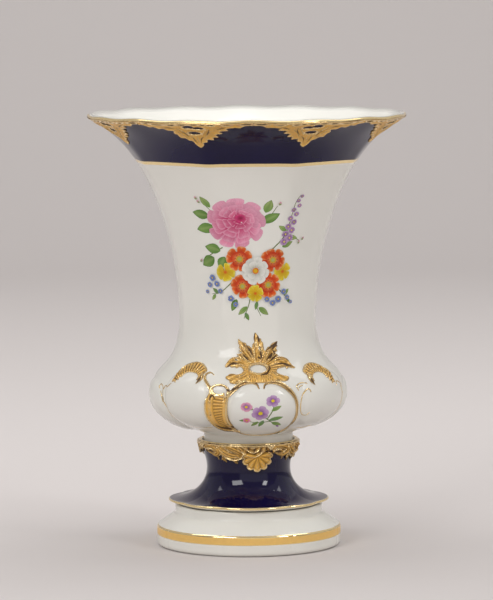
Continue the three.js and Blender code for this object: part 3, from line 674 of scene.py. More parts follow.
hardware = dict(boltRadius=4.0, headRadius=9.0, headLow=101.1 + 1.8 + 0.3 + 1.5 + 0.3, headHeight=5.0, pitch=1.25,
                threadDepth=0.6, boltEnd=11.1, threadTop=40.0, nutLow=16.1, nutHeight=6.5, nutFlats=13.0, nutBore=4.35,
                ringBore=4.3, ringCorner=0.35)
rings = dict(  # material, slot and, where it isn't the bolt's, the bore
    head_washer=(brassMaterial, "bolt_brass"), nut_washer=(brassMaterial, "bolt_brass"),
    head_gasket=(rubberMaterial, "rubber"), nut_gasket=(rubberMaterial, "rubber"),
    vessel_gasket=(feltMaterial, "felt", 31.5), stem_gasket=(feltMaterial, "felt", 48.3))


def makeBolt(h):
    radius, head, low = h["boltRadius"], h["headRadius"], h["headLow"]
    top = low + h["headHeight"]
    threaded = np.arange(h["boltEnd"] + 1.0, h["threadTop"], h["pitch"] / 6)
    shank = np.linspace(h["threadTop"] + 0.5, low - 0.4, 12)
    dome = bezier((head, low + 2.0), (head, low + 4.2), (5.0, top), (0.05, top), 14)
    section = [(0.05, h["boltEnd"]), (radius - 1.0, h["boltEnd"]), *[(radius, z) for z in (*threaded, *shank)],
               (radius + 0.3, low), (head - 0.5, low), (head, low + 0.5), *dome]

    def thread(angle, r, z):  # a ridge that climbs one pitch a turn
        inThread = (np.abs(r - radius) < 0.01) & (z < h["threadTop"])
        phase = (z / h["pitch"] - angle / 360.0) % 1.0
        return np.where(inThread, r - h["threadDepth"] * np.abs(2 * phase - 1), r), z
    turnedPiece("tie_bolt_turned", section, brassMaterial, ["tie_bolt"], 96, thread)


def makeNut(h):
    flat, bore, low, high = h["nutFlats"] / 2, h["nutBore"], h["nutLow"], h["nutLow"] + h["nutHeight"]
    side = [(flat, z) for z in np.linspace(low, high, 12)]
    section = [(bore, low + 0.4), (bore + 0.5, low), (flat - 1.2, low), *side, (flat - 1.2, high), (bore + 0.5, high),
               (bore, high - 0.4)]

    def hexagon(angle, r, z):  # the outside follows six flats, flat / cos(angle), and its corners are chamfered
        corner = flat / np.cos(np.radians((angle + 60) % 60 - 30))
        chamfer = flat + 0.25 + 1.9 * (h["nutHeight"] / 2 - np.abs(z - (low + h["nutHeight"] / 2)))
        return np.where(r > flat - 1, np.minimum(corner, chamfer), r), z
    turnedPiece("tie_nut_hexagon", section, brassMaterial, ["tie_nut"], 144, hexagon)


def makeRings(h):  # each lies where its solid lies
    for name, (material, slot, *own) in rings.items():
        (_, _, low), (outer, _, high) = ([value / mm for value in corner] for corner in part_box(name))
        bore = own[0] if own else h["ringBore"]
        corners = [(outer, low), (outer, high), (bore, high), (bore, low)]
        section = roundedSection(corners, h["ringCorner"])
        turnedPiece(name + "_rounded", section, material, [name], 120)


makeBolt(hardware)
makeNut(hardware)
makeRings(hardware)
print("bolt and gaskets made")


def nearestOnLine(points, line):
    # for each point the share along the line, the signed distance to it, and the plain distance
    a, b = line[:-1], line[1:]
    d = b - a
    rel = points[:, None, :] - a[None]
    t = np.clip((rel * d).sum(-1) / np.maximum((d * d).sum(-1), 1e-9), 0, 1)
    gap = rel - t[..., None] * d
    dist = np.sqrt((gap ** 2).sum(-1))
    best = dist.argmin(1)
    rows = np.arange(len(points))
    side = np.sign(d[best, 0] * gap[rows, best, 1] - d[best, 1] * gap[rows, best, 0])
    share = (best + t[rows, best]) / len(a)
    return share, dist[rows, best] * side, dist[rows, best]


def stroke(line, width, height=2.0, kind="leaf", count=0, closed=False):
    # one moulded limb: a centre line, half widths along it, a crest height and the way it is chased
    dense = splineLine(line, 40 + 20 * closed, closed)
    return dict(line=dense, width=np.array(width, float), height=height, kind=kind, count=count, reach=max(width) + 0.9)


def plate(outline, height=0.8, ribs=0, hub=(0, 0), rim=0.7, dome=0.0, tone=0.0):
    # a part inside an outline, with a raised rim and ribs that run out from a hub.
    # It can rise towards its middle, and its tone adds painted shade all over
    dense = splineLine(outline, 7 * len(outline), True)
    return dict(line=dense, height=height, kind="plate", count=ribs, hub=hub, rim=rim, dome=dome, tone=tone, reach=0.9)


def ridges(lines, width, height=2.4):  # narrow burnished lines
    return [stroke(line, [0.5 * width, width, width, 0.4 * width], height, "band") for line in lines]


def grooves(lines, width, height):  # narrow cuts of one width, with painted shade and dark reflection in them
    return [stroke(line, width, height, "cut") for line in lines]


def plateRelief(s, points):
    # as strokeRelief, with the depth measured from the outline and a rim and ribs that rise as cosines, and painted
    # shade between the ribs and, by its tone, over the whole plate
    line, rim, tone = s["line"], s["rim"], s["tone"]
    depth = nearestOnLine(points, line)[2]
    x, y = points[:, 0][:, None], points[:, 1][:, None]
    xa, ya, xb, yb = line[:-1, 0], line[:-1, 1], line[1:, 0], line[1:, 1]
    crossing = (ya > y) != (yb > y)
    at = xa + (y - ya) * (xb - xa) / np.where(yb == ya, 1e-9, yb - ya)
    inside = (crossing & (x < at)).sum(1) % 2 == 1
    depth = np.where(inside, depth, -depth)
    turn = np.arctan2(points[:, 0] - s["hub"][0], s["hub"][1] - points[:, 1])
    ridge = 0.5 + 0.5 * np.cos(s["count"] * turn)
    edge = np.exp(-((depth - 0.45 * rim) / (0.45 * rim)) ** 2)
    rise = 0.4 + 0.6 * smooth(0, s["dome"], depth) if s["dome"] else 1.0
    burnish = np.maximum(0.95 * edge, (0.5 - 2 * tone) * smooth(0.6, 1.0, ridge))
    shade = (tone + 0.85 * (1 - ridge) ** 1.5) * (1 - edge)
    return depth, s["height"] * rise * (0.55 + 0.45 * ridge + 0.4 * edge), burnish, shade


def strokeRelief(s, points):
    # depth inside the limb's edge, its height there, how burnished it is, and the painted shade it takes in its hollows
    # and at its edges.
    # The form is a share of the height, from q = -1 at one edge to 1 at the other, and a = |q|
    if s["kind"] == "plate":
        return plateRelief(s, points)
    share, signed, dist = nearestOnLine(points, s["line"])
    width = np.interp(share, np.linspace(0, 1, len(s["width"])), s["width"])
    kind, n = s["kind"], s["count"]
    if kind == "leaf":  # a ragged outline
        width = width * (0.90 + 0.2 * ((share * (n + 2)) % 1))
    q = signed / np.maximum(width, 0.05)
    a = np.clip(np.abs(q), 0, 1)
    full = np.sqrt(np.clip(1 - a ** 2, 0, 1))  # a half round
    grow = np.clip(width / max(s["width"].max(), 0.1), 0.25, 1)
    burnish = np.zeros(len(points))
    if kind == "leaf":  # a vein, a hollow on each side and a turned-up edge with slanting cuts
        slant = 0.22 * np.cos(2 * np.pi * ((n + 2) * share - 1.2 * a)) * smooth(0.1, 0.3, a) * smooth(1.0, 0.85, a)
        form = 0.60 + 0.22 * np.cos(np.pi * a * 2) + 0.30 * smooth(0.5, 0.85, a) + slant
        form -= 0.45 * np.exp(-(q / 0.12) ** 2)
        burnish = 0.95 * smooth(0.64, 0.82, a) + 0.3 * smooth(0.6, 0.95, share)
        shade = 1 - form
    elif kind == "rib":  # cut across, as a gadroon is
        wave = np.cos(2 * np.pi * n * share)
        form = (0.55 + 0.45 * full) * (0.76 + 0.24 * wave) + 0.15 * smooth(0.78, 0.95, a)
        burnish = np.maximum(0.85 * smooth(0.80, 0.92, a), 0.25 * smooth(0.3, 1.0, wave))
        shade = 0.6 * (0.5 - 0.5 * wave) * smooth(1.0, 0.8, a)
    elif kind == "reed":  # cut along
        wave = np.cos(2 * np.pi * n * (q + 1) / 2)
        form = 0.35 + 0.40 * full + 0.28 * wave + 0.1 * smooth(0.8, 0.95, a)
        burnish = 0.9 * smooth(0.76, 0.90, a) + 0.3 * smooth(0.4, 1.0, wave)
        shade = 0.85 * (0.5 - 0.5 * wave) * smooth(1.0, 0.85, a)
    elif kind == "hollow":  # dished between two edges, with painted shade in the dish
        form = 0.42 + 0.58 * a ** 2.4
        burnish = smooth(0.26, 0.42, a)
        shade = np.maximum(0.85 * smooth(0.42, 0.2, a), 0.5 * smooth(0.88, 1.0, a))
    elif kind == "cut":  # a groove cut into what lies there, filled with painted shade and dark reflection
        form = shade = full
    elif kind == "matt":  # plain and rounded, left matt
        form = 0.30 + 0.70 * full
        burnish = 0.4 * smooth(0.7, 0.2, a)
        shade = 0.7 * smooth(0.6, 0.95, a)
    else:  # "band": plain, rounded and burnished
        form = 0.25 + 0.75 * full
        burnish = np.ones(len(points))
        shade = 0.35 * smooth(0.75, 1.0, a)
    return width - dist, s["height"] * form * grow, np.clip(burnish, 0, 1), np.clip(shade, 0, 1)


relief = dict(cell=0.40, laceCell=0.5, edge=0.5, laceEdge=0.4, sunk=0.25, rimSunk=0.12, cutDepth=0.35, holeRim=0.8)


def reliefField(strokes, holes, edge, points):
    # the highest limb wins at each point, with its painted shade. A cut lowers what lies there and paints shade and
    # dark reflection into it. Holes and their burnished rims come last
    depth = np.full(len(points), -9.0)
    height, burnish, paintedShade = (np.zeros(len(points)) for _ in range(3))
    for s in strokes:
        low, high = s["line"].min(0) - s["reach"], s["line"].max(0) + s["reach"]
        near = np.nonzero(((points >= low) & (points <= high)).all(1))[0]
        if not len(near):
            continue
        inside, lift, bright, shade = strokeRelief(s, points[near])
        if s["kind"] == "cut":
            cut = smooth(0, 0.3, inside)
            height[near] *= 1 - relief["cutDepth"] * cut
            burnish[near] *= 1 - cut
            paintedShade[near] = np.maximum(paintedShade[near], cut)
            continue
        rounded = np.sqrt(np.clip(1 - (1 - np.clip(inside / edge, 0, 1)) ** 2, 0, 1))
        shaped = np.where(inside > 0, lift * rounded, -1)
        better = shaped > height[near]
        for field, own in ((height, shaped), (burnish, bright), (paintedShade, shade)):
            field[near] = np.where(better, own, field[near])
        depth[near] = np.maximum(depth[near], inside)
    for cx, cy, rx, ry in holes:
        away = (np.sqrt(((points[:, 0] - cx) / rx) ** 2 + ((points[:, 1] - cy) / ry) ** 2) - 1) * min(rx, ry)
        depth = np.minimum(depth, away)
        burnish = np.where(away < relief["holeRim"], np.maximum(burnish, 0.9), burnish)
    return depth, height, burnish, np.clip(paintedShade - 0.6 * burnish, 0, 1)


def makeRelief(name, node, strokes, box, cell, place, holes=(), edge=relief["edge"], looped=False):
    # strokes are laid on a grid, the grid is cut along their common outline, and its edge is drawn onto that outline
    u = np.arange(box[0], box[1] + (0 if looped else cell), cell)
    v = np.arange(box[2], box[3] + cell, cell)
    gridU, gridV = np.meshgrid(u, v)
    points = np.stack([gridU.ravel(), gridV.ravel()], -1)
    depth, height, burnish, paintedGrooveShade = reliefField(strokes, holes, edge, points)
    rows, columns = gridU.shape
    slopeV, slopeU = np.gradient(np.maximum(depth, -2.0).reshape(rows, columns), cell)
    steep = np.maximum(np.hypot(slopeU, slopeV), 0.35).ravel()
    outside = depth <= 0
    pull = np.minimum(np.where(outside, -depth, 0) / steep, 1.3 * cell)
    moved = points + np.stack([slopeU.ravel(), slopeV.ravel()], -1) / steep[:, None] * pull[:, None]
    quads = gridFaces(rows, columns, False, looped)
    kept = quads[(~outside[quads]).sum(1) >= 2]
    used, kept = np.unique(kept, return_inverse=True)
    kept = kept.reshape(-1, 4)
    at, border, tall = moved[used], outside[used], height[used]
    # painted shade where the relief is low and not burnished, on top of the strokes' painted shade
    low = 1 - smooth(0.12, 0.4, tall / max(height.max(), 0.1))
    paintedShade = np.maximum(paintedGrooveShade[used], 0.8 * low * (1 - burnish[used]))
    top = place(at[:, 0], at[:, 1], np.where(border, -relief["rimSunk"], np.maximum(tall, relief["sunk"])))
    bottom = place(at[~border][:, 0], at[~border][:, 1], -relief["sunk"])
    below = np.arange(len(used))
    below[~border] = len(used) + np.arange((~border).sum())
    faces = np.vstack([kept, below[kept][:, ::-1]])
    allPoints = np.vstack([top, bottom])
    if facesInward(allPoints, kept):
        faces = faces[:, ::-1]
    blank = np.zeros(len(bottom))
    # the border carries some painted shade too
    values = dict(burnish=np.concatenate([np.where(border, 0.9, burnish[used]), blank]),
                  paintedShade=np.concatenate([np.where(border, 0.3, paintedShade), blank]))
    meshPiece(name, allPoints, faces, goldMaterial, [node], values)


def onSkin(centre, run, side=1, steady=None):
    # millimetres across and up from a centre on the vessel. A steady radius keeps a wide piece's sides upright
    def place(u, v, lift):
        radius = skinRadius(run + v) if steady is None else steady
        return overSkin(centre + side * np.degrees(u / radius), run + v, lift)
    return place


def onStem(centre):  # millimetres round and down from a centre at the collar's edge
    def place(u, v, lift):
        return overStem(centre + np.degrees(u / collar["round"]), np.minimum(v, 0), lift)
    return place


def fromTurns(points, centre, run):  # (angle, run) pairs as millimetres from a centre
    points = np.array(points, float)
    return np.stack([np.radians(points[:, 0] - centre) * skinRadius(points[:, 1]), points[:, 1] - run], -1)


palmette = dict(turn=4.5, run=28.5, box=(-33, 37, -18, 35),
                holes=[(0, 0, 6.7, 4.5), (-17.2, 8.9, 0.9, 0.8), (2.2, 18.8, 0.6, 1.2)])


def palmetteStrokes():
    # leaves and reeds that fan out from an oval ring, in millimetres from its centre
    outline = fromTurns([
        (3.5, 60.6), (2.2, 56.4), (2.6, 52.6), (1.0, 51.0), (0.8, 48.0), (-1.4, 49.8), (-3.4, 50.4), (-4.2, 52.2),
        (-7.0, 53.0), (-10.2, 55.4), (-10.4, 51.6), (-9.0, 49.6), (-9.9, 48.0), (-8.0, 46.8), (-9.8, 45.3),
        (-7.2, 43.8), (-11.2, 42.3), (-9.2, 40.6), (-12.6, 40.2), (-14.5, 39.8), (-17.0, 37.2), (-18.4, 34.6),
        (-18.9, 30.6), (-16.4, 32.0), (-14.0, 30.4), (-11.8, 30.9), (-10.5, 29.8), (-8.2, 31.0), (-6.4, 29.6),
        (-5.9, 26.8), (-7.6, 24.4), (-9.8, 23.6), (-12.6, 24.2), (-15.2, 23.4), (-16.4, 19.8), (-14.4, 17.4),
        (-13.5, 15.0), (-10.2, 14.2), (-6.8, 15.6), (-2.0, 15.2), (3.5, 15.0), (11.0, 15.2), (15.8, 15.8), (20.5, 15.8),
        (23.4, 17.2), (23.0, 20.9), (20.4, 21.4), (17.8, 22.4), (17.2, 25.8), (18.4, 28.4), (21.5, 29.4), (24.4, 29.7),
        (25.2, 27.6), (26.8, 29.2), (30.0, 28.3), (32.2, 28.6), (30.4, 31.8), (29.0, 35.0), (26.4, 35.8), (26.0, 37.7),
        (22.6, 37.8), (20.2, 39.2), (20.9, 41.6), (19.4, 43.0), (21.2, 45.0), (20.2, 47.0), (21.6, 49.0), (20.9, 50.6),
        (22.0, 52.9), (18.6, 52.0), (16.4, 50.9), (15.2, 48.8), (13.2, 48.4), (10.8, 45.4), (10.0, 49.6), (9.7, 52.4),
        (8.5, 53.4), (8.4, 55.5), (6.8, 55.9), (6.2, 57.5)], palmette["turn"], palmette["run"])
    return [
        plate(outline, 1.5, 36, (0, 0), 0.8, 1.6),
        stroke([(0, 6), (0.6, 14), (0.6, 22), (-1.0, 31)], [2.6, 3.4, 3.0, 1.6, 0.2], 2.6, "leaf", 5),
        stroke([(-3.4, 6), (-7.6, 13), (-11.4, 18.6), (-14.8, 25.4)], [2.2, 3.0, 3.0, 1.8, 0.2], 2.5, "leaf", 5),
        stroke([(3.6, 6), (8.8, 12.2), (13.0, 17.6), (17.6, 23.4)], [2.4, 3.2, 3.2, 2.0, 0.2], 2.5, "leaf", 5),
        stroke([(-7, 3.6), (-13.6, 8.0), (-20.4, 7.6), (-26.0, 2.4)], [2.0, 3.0, 3.0, 0.6], 2.3, "reed", 3),
        stroke([(8, 3.6), (14, 7.2), (21.4, 7.4), (31.0, 0.6)], [2.2, 3.4, 3.2, 0.4], 2.3, "reed", 3),
        stroke([(-8.6, 2.4), (-9.6, -4.6), (-14.6, -8.6), (-21.0, -9.4), (-25.8, -8.4)], [1.8, 3.2, 3.8, 3.6, 2.0], 2.1,
               "reed", 4),
        stroke([(9.6, 2.0), (11.0, -4.4), (15.4, -8.2), (19.6, -9.4), (24.0, -9.6)], [1.8, 3.0, 3.4, 3.0, 1.8], 2.1,
               "reed", 4),
        stroke([(-12, -10.2), (-6, -9.8), (0, -9.6), (6, -9.8), (12, -10.2)], [2.6, 3.6, 3.8, 3.6, 2.6], 1.9, "rib",
               13),
        stroke([(7.7, 0), (5.5, 3.9), (0, 5.5), (-5.5, 3.9), (-7.7, 0), (-5.5, -3.9), (0, -5.5), (5.5, -3.9)], [0.75],
               2.9, "band", 0, True),
        *ridges([[(-4.2, 7.4), (-5.0, 13), (-6.8, 19.4)], [(-6.6, 6.4), (-11.4, 11.8), (-14.6, 15.6)],
                 [(-8.0, 5.6), (-13.4, 10.2), (-16.6, 12.6)],
                 [(1.8, 8), (4.0, 14), (4.6, 22)], [(-1.8, 8), (-2.6, 14), (-2.4, 20.4)],
                 [(4.8, 7), (8.4, 13.4), (11.0, 19.4)], [(7.4, 6.2), (13.2, 11.8), (17.2, 17.2)],
                 [(8.8, 5.2), (14.4, 9.6), (18.0, 12.6)], [(10, 4), (17, 8.8), (24.4, 6.2)],
                 [(-9, 4.6), (-16, 8.6), (-22.4, 5.2)], [(0.2, 16), (-0.4, 22), (-0.2, 28)],
                 [(-8.8, 15.4), (-11.8, 20.2), (-14.0, 24.0)], [(10.4, 17.4), (13.4, 20.2), (16.0, 21.6)],
                 [(-9.6, 7.6), (-14.6, 12.4), (-16.8, 14.4)], [(11.4, 4.6), (19.0, 4.8), (25.4, 3.0)],
                 [(-11, 3.4), (-16.6, 4.4), (-21.8, 2.4)], [(-10.2, 0.6), (-10.4, -4.6), (-14.6, -7.4), (-20.4, -7.6)],
                 [(11.2, 0.2), (11.6, -4.0), (15.4, -6.6), (19.6, -7.4)], [(-20, -10.8), (-13, -12.4), (-6, -12.6)],
                 [(19, -11.0), (12, -12.6), (5, -12.6)]], 0.45),
        # cuts and grooves between the leaves, with painted shade and dark reflection in them
        stroke([(1.0, 31.6), (1.8, 28.0), (1.2, 24.0)], [0.8, 1.5, 0.3], 3.4, "cut"),
        stroke([(20.6, 25.0), (16.4, 22.0), (12.4, 17.4)], [0.8, 1.9, 0.5], 3.4, "cut"),
        stroke([(12.8, 17.2), (14.4, 14.6), (14.0, 12.4)], [0.5, 1.2, 0.4], 3.4, "cut"),
        stroke([(9.0, 4.2), (9.6, 0.6), (8.2, -3.4)], [0.4, 1.0, 0.4], 3.4, "cut"),
        stroke([(10.4, 10.0), (11.2, 12.0), (12.2, 14.2)], [0.9, 1.4, 0.7], 3.4, "cut"),
        stroke([(0.8, 11.2), (1.8, 10.4), (2.6, 9.6)], [0.8, 1.1, 0.6], 3.4, "cut"),
        *grooves([
            [(-1.2, 31.2), (-2.4, 27.0), (-2.2, 22.6)], [(17.6, 23.6), (12.4, 20.4), (7.6, 16.8)],
            [(-8.4, 21.6), (-6.0, 17.6), (-4.0, 13.0)], [(-11.4, 13.6), (-8.6, 10.0), (-6.4, 7.6)],
            [(12.4, 14.6), (9.4, 10.6), (7.0, 8.0)], [(-25.2, 2.6), (-20.4, 5.4), (-14.4, 5.8)],
            [(30.4, 0.6), (23.0, 4.0), (15.0, 4.6)], [(8.6, -1.0), (6.6, -4.8), (1.0, -6.6)],
            [(3.4, 9.4), (3.0, 14.0), (2.6, 18.0)], [(16.4, 13.0), (12.6, 9.4), (9.6, 6.6)]], [0.5, 1.15, 0.35], 3.4),
    ]


def cartoucheStrokes():
    # the double rail of the frame, with volutes that meet at the top, and the foot scroll at the lower right
    centre, run = framed["offset"], framed["centre"]

    def rail(points, width, height=1.9, kind="hollow", count=0):
        return stroke(fromTurns(points, centre, run), width, height, kind, count)
    strokes = [
        rail([(3.9, 10.2), (2.6, 14.0), (-1.2, 15.8), (-6.4, 14.4), (-10.6, 9.6), (-14.8, 3.6)],
             [0.7, 1.3, 1.8, 1.9, 1.7, 1.3], 2.1),
        rail([(6.8, 10.4), (8.0, 14.0), (12.2, 15.3), (17.5, 13.4), (23.4, 6.8), (26.8, -1.5), (28.2, -13), (28.2, -24),
              (26.4, -32)],
             [0.7, 1.3, 1.9, 1.9, 1.5, 1.4, 1.5, 1.3, 0.5], 2.1),
        rail([(27.6, -27), (26, -35), (21.4, -40.8), (22.6, -45.2), (27, -46)], [0.5, 1.0, 1.1, 0.9, 0.4], 1.5, "band"),
        rail([(28, -30), (26.6, -36.5), (23.6, -40)], [0.3, 1.4, 0.3], 1.3, "reed", 2),
        rail([(24.6, -33.6), (18, -42.6), (8, -46.8), (-3, -46.6), (-9.6, -41.2), (-12.2, -33.2)],
             [0.5, 0.9, 0.8, 0.8, 0.9, 0.5], 1.0, "band"),
    ]
    strokes += [
        rail([(-14.6, 5), (-16.4, -3.1), (-16.9, -11.7), (-16.2, -20.9), (-12.4, -31)], [1.0, 2.0, 2.5, 2.6, 1.6], 1.9,
             "matt"),
        rail([(-14.4, 4.4), (-15.3, -3.1), (-15.7, -11.7), (-15.0, -20.9), (-10.6, -32.6)], [0.8, 0.9, 0.9, 0.9, 0.7],
             2.3, "band"),
        rail([(-20.0, 4.8), (-20.6, -4), (-20.8, -12), (-20.1, -20), (-17.6, -28)], [5.2, 5.0, 4.7, 3.8, 1.6], 1.7,
             "rib", 14),
        rail([(-23.4, 7.6), (-25.2, 0.5), (-25.6, -9), (-25.0, -18.5), (-22.8, -26.5), (-17.8, -33.0), (-10.6, -34.8)],
             [2.4, 3.6, 3.6, 3.5, 3.0, 2.6, 1.2], 2.2, "matt"),
        rail([(-25.6, 6.4), (-27.6, -0.5), (-28.1, -9), (-27.4, -19), (-24.8, -27.8), (-19.4, -34.6), (-11.6, -36.4)],
             [0.6, 0.9, 0.9, 0.9, 0.9, 0.8, 0.5], 2.3, "band"),
        rail([(-17.8, -31.2), (-13.6, -34.2), (-9.4, -33.0)], [1.0, 2.2, 1.2], 2.4, "band"),
        rail([(-15.6, 3.6), (-19.6, 4.4), (-23.8, 4.6), (-25.2, 8.0), (-23.6, 11.8), (-19.8, 13.3), (-16.2, 12.0),
              (-14.2, 8.6), (-14.4, 5.0)],
             [0.8, 1.2, 1.6, 1.4, 1.1, 1.0, 1.1, 1.4, 1.6], 2.3, "band"),
        rail([(-24.4, 7.6), (-26.4, 11.6), (-28.6, 15.0), (-30.6, 18.6), (-30.9, 22.0), (-29.4, 24.6), (-27.2, 24.6),
              (-25.2, 22.6)], [1.8, 1.5, 1.5, 1.4, 1.1, 0.9, 0.8, 0.5], 1.9, "hollow"),
        rail([(-25.0, 10.6), (-22.8, 12.8)], [0.9, 0.3], 1.7, "band"),
    ]
    # grooves with painted shade and dark reflection beside the rails, the eye and the wing's foot
    for points, width in (
            ([(-11.0, 8.6), (-8.0, 11.4), (-4.2, 12.9), (-0.5, 13.4), (1.2, 12.2)], [0.3, 0.6, 0.7, 0.7, 0.4]),
            ([(1.8, 15.2), (3.8, 13.4), (4.1, 10.4)], [0.4, 0.8, 0.4]),
            ([(10.8, 13.7), (8.0, 12.8), (7.1, 10.2)], [0.4, 0.8, 0.4]),
            ([(13.8, 13.0), (10.5, 12.2), (9.6, 10.4)], [0.4, 0.6, 0.3]),
            ([(16.8, 12.5), (21.0, 8.6), (25.8, 3.6)], [0.3, 0.6, 0.3]),
            ([(-16.4, 11.3), (-14.9, 8.9), (-12.5, 9.3), (-8.8, 11.7)], [0.5, 1.1, 1.0, 0.5]),
            ([(-24.5, -23.4), (-21.5, -28.0), (-16.0, -31.2), (-11.8, -30.4)], [0.6, 1.5, 1.5, 0.7]),
            ([(-16.0, -21.9), (-13.5, -24.6), (-11.2, -27.6)], [0.3, 0.9, 0.4]),
            ([(-25.2, 0.6), (-24.6, 3.6), (-23.2, 4.2), (-21.8, 1.0)], [0.5, 1.1, 0.8, 0.3]),
            ([(24.8, -24.6), (27.0, -21.3)], [0.3, 0.6]),
            ([(-21.5, 10.9), (-19.0, 12.4), (-16.2, 11.5)], [0.3, 0.6, 0.4])):
        strokes.append(rail(points, width, 2.9, "cut"))
    return strokes


wingEye = (-37.4, 27.5, 5.2, 3.2)  # the opening at the top of the wing


def crestStrokes():
    # the crescent is thick over the hook, which lies nearer the face, and thins out to the other side
    def at(points):
        return fromTurns(points, -42.4, 21.0)

    def rib(turn, fall):  # one short rib across the crescent, which falls off towards the ends
        return at([(turn, 24.4 - 0.05 * fall), (turn - 0.6, 28.6 - 0.05 * fall), (turn + 0.4, 32.0 - 0.06 * fall)])
    outline = at([(-54.2, 12.6), (-53.6, 16.2), (-54.8, 22.5), (-52.2, 28.2), (-48.2, 32.1), (-42.2, 34.3),
                  (-37.0, 33.7), (-33.0, 30.2), (-31.2, 27.0), (-31.9, 24.4), (-33.0, 21.9),
                  (-32.2, 18.0), (-32.8, 15.2), (-35.2, 12.4), (-34.4, 15.6), (-35.6, 16.0), (-35.4, 19.2),
                  (-38.4, 22.6), (-42.8, 23.6), (-45.8, 22.4), (-47.2, 19.8), (-47.6, 17.0), (-49.2, 17.2),
                  (-49.0, 14.4), (-50.8, 14.6), (-50.8, 11.9), (-52.2, 13.0)])
    return [
        plate(outline, 1.9, 36, (-0.6, -9.0), 0.8, 2.2, 0.06),
        stroke(at([(-53.9, 20.0), (-51.6, 27.0), (-47.8, 31.0), (-42.2, 33.2), (-37.2, 32.6), (-33.8, 29.6),
                   (-32.4, 26.6)]), [0.4, 0.7, 0.7, 0.7, 0.8, 0.8, 0.5], 2.5, "band"),
        stroke(at([(-34.0, 23.4), (-33.2, 19.4), (-33.4, 16.0), (-35.0, 12.8)]), [1.0, 1.7, 1.5, 0.3], 2.5, "band"),
        # two cuts with painted shade and dark reflection in them
        stroke(at([(-33.2, 20.2), (-33.2, 16.4), (-35.0, 12.9)]), [0.3, 1.3, 0.3], 3.4, "cut"),
        stroke(at([(-51.4, 15.8), (-50.4, 14.0), (-50.6, 12.6)]), [0.3, 0.9, 0.3], 2.9, "cut"),
        *ridges([at([(-52.4, 17.0), (-51.6, 23.0), (-48.2, 27.6)]), at([(-50.4, 17.0), (-49.4, 22.0), (-46.2, 25.4)]),
                 at([(-36.8, 21.6), (-35.6, 25.0), (-35.4, 29.0)]),
                 *[rib(turn, abs(turn + 42) ** 1.5) for turn in (-47, -44.6, -42.2, -39.8, -37.6)]], 0.4, 2.3),
    ]


def laceStrokes():
    # rocaille that hangs from the rim: long and low to one side, steep to the other. v is 0 at the rim's edge
    outline = [
        (52, -0.2), (52, -4.6), (46, -5.4), (42, -7.6), (37, -6.6), (33, -9.0), (28, -8.0), (25, -10.6), (19.6, -11.4),
        (21.2, -14.6), (18.6, -17.0), (17.2, -21.4), (12.6, -22.0), (9.4, -24.8), (6.2, -25.6), (4.6, -29.6),
        (0.6, -33.4), (-3.6, -31.2), (-4.6, -27.6), (-8.4, -26.8), (-9.6, -23.4), (-15.2, -24.2), (-15.4, -20.6),
        (-20.4, -20.4), (-18.6, -16.4), (-25.0, -14.8), (-22.6, -11.6), (-30.6, -10.2), (-29.0, -7.4), (-36, -6.6),
        (-41, -7.0), (-45, -4.4), (-52, -4.0), (-52, -0.2), (0, -0.2)]
    return [
        # the plate is toned with painted shade all over
        plate(outline, 0.75, 0, (2, 14), 1.3, 0.0, 0.2),
        stroke([(-52, -0.65), (-17, -0.65), (17, -0.65), (52, -0.65)], [0.65], 0.9, "band"),
        stroke([(22, -5.6), (15, -9.8), (9.4, -17.0), (3.0, -26.2)], [1.2, 2.8, 2.6, 0.5], 1.35, "leaf", 7),
        stroke([(-20, -6.0), (-12.4, -11.0), (-8.0, -17.2), (-4.0, -24.4)], [1.0, 2.4, 2.4, 0.5], 1.3, "leaf", 5),
        stroke([(-9, -11.2), (-2, -10.6), (5.0, -10.8), (10, -9.4)], [0.6, 1.3, 1.3, 0.5], 1.4, "reed", 2),
        stroke([(-30, -4.6), (-23, -6.6), (-17, -9.4)], [0.6, 1.9, 0.4], 1.2, "leaf", 4),
        stroke([(44, -3.6), (36, -4.8), (29, -6.4)], [0.5, 1.7, 0.4], 1.1, "leaf", 4),
        stroke([(1.8, -18.0), (1.2, -24), (0.7, -31.0)], [1.9, 2.3, 0.4], 1.2, "leaf", 3),
        # grooves with painted shade and dark reflection
        *grooves([
            [(-14, -8.6), (-12.6, -13.0), (-9.6, -17.4)], [(12.6, -12.4), (9.4, -15.8), (7.6, -20.4)],
            [(-6.6, -19.6), (-3.4, -22.8), (-2.2, -27.0)], [(17.4, -8.2), (21.4, -6.6), (26.0, -5.8)],
            [(-21, -8.2), (-25.4, -6.6), (-29.4, -5.6)],
            [(4.4, -20.0), (3.4, -24.4), (2.0, -28.0)]], [0.3, 0.8, 0.3], 1.2),
    ]


laceHoles = [(-4.6, -7.6, 4.6, 1.7), (4.0, -6.2, 4.6, 2.3), (0.8, -14.8, 5.4, 1.9), (-45.5, -2.5, 4.2, 0.9),
             (-16.2, -2.5, 2.3, 0.9), (-9.6, -2.3, 1.8, 0.8),
             (-2.2, -2.4, 2.8, 0.8), (8.6, -2.4, 3.2, 0.8), (18.0, -2.4, 2.9, 0.9), (31.5, -2.3, 5.2, 0.7),
             (-30.0, -2.3, 2.6, 0.6), (42.5, -2.2, 2.4, 0.5)]


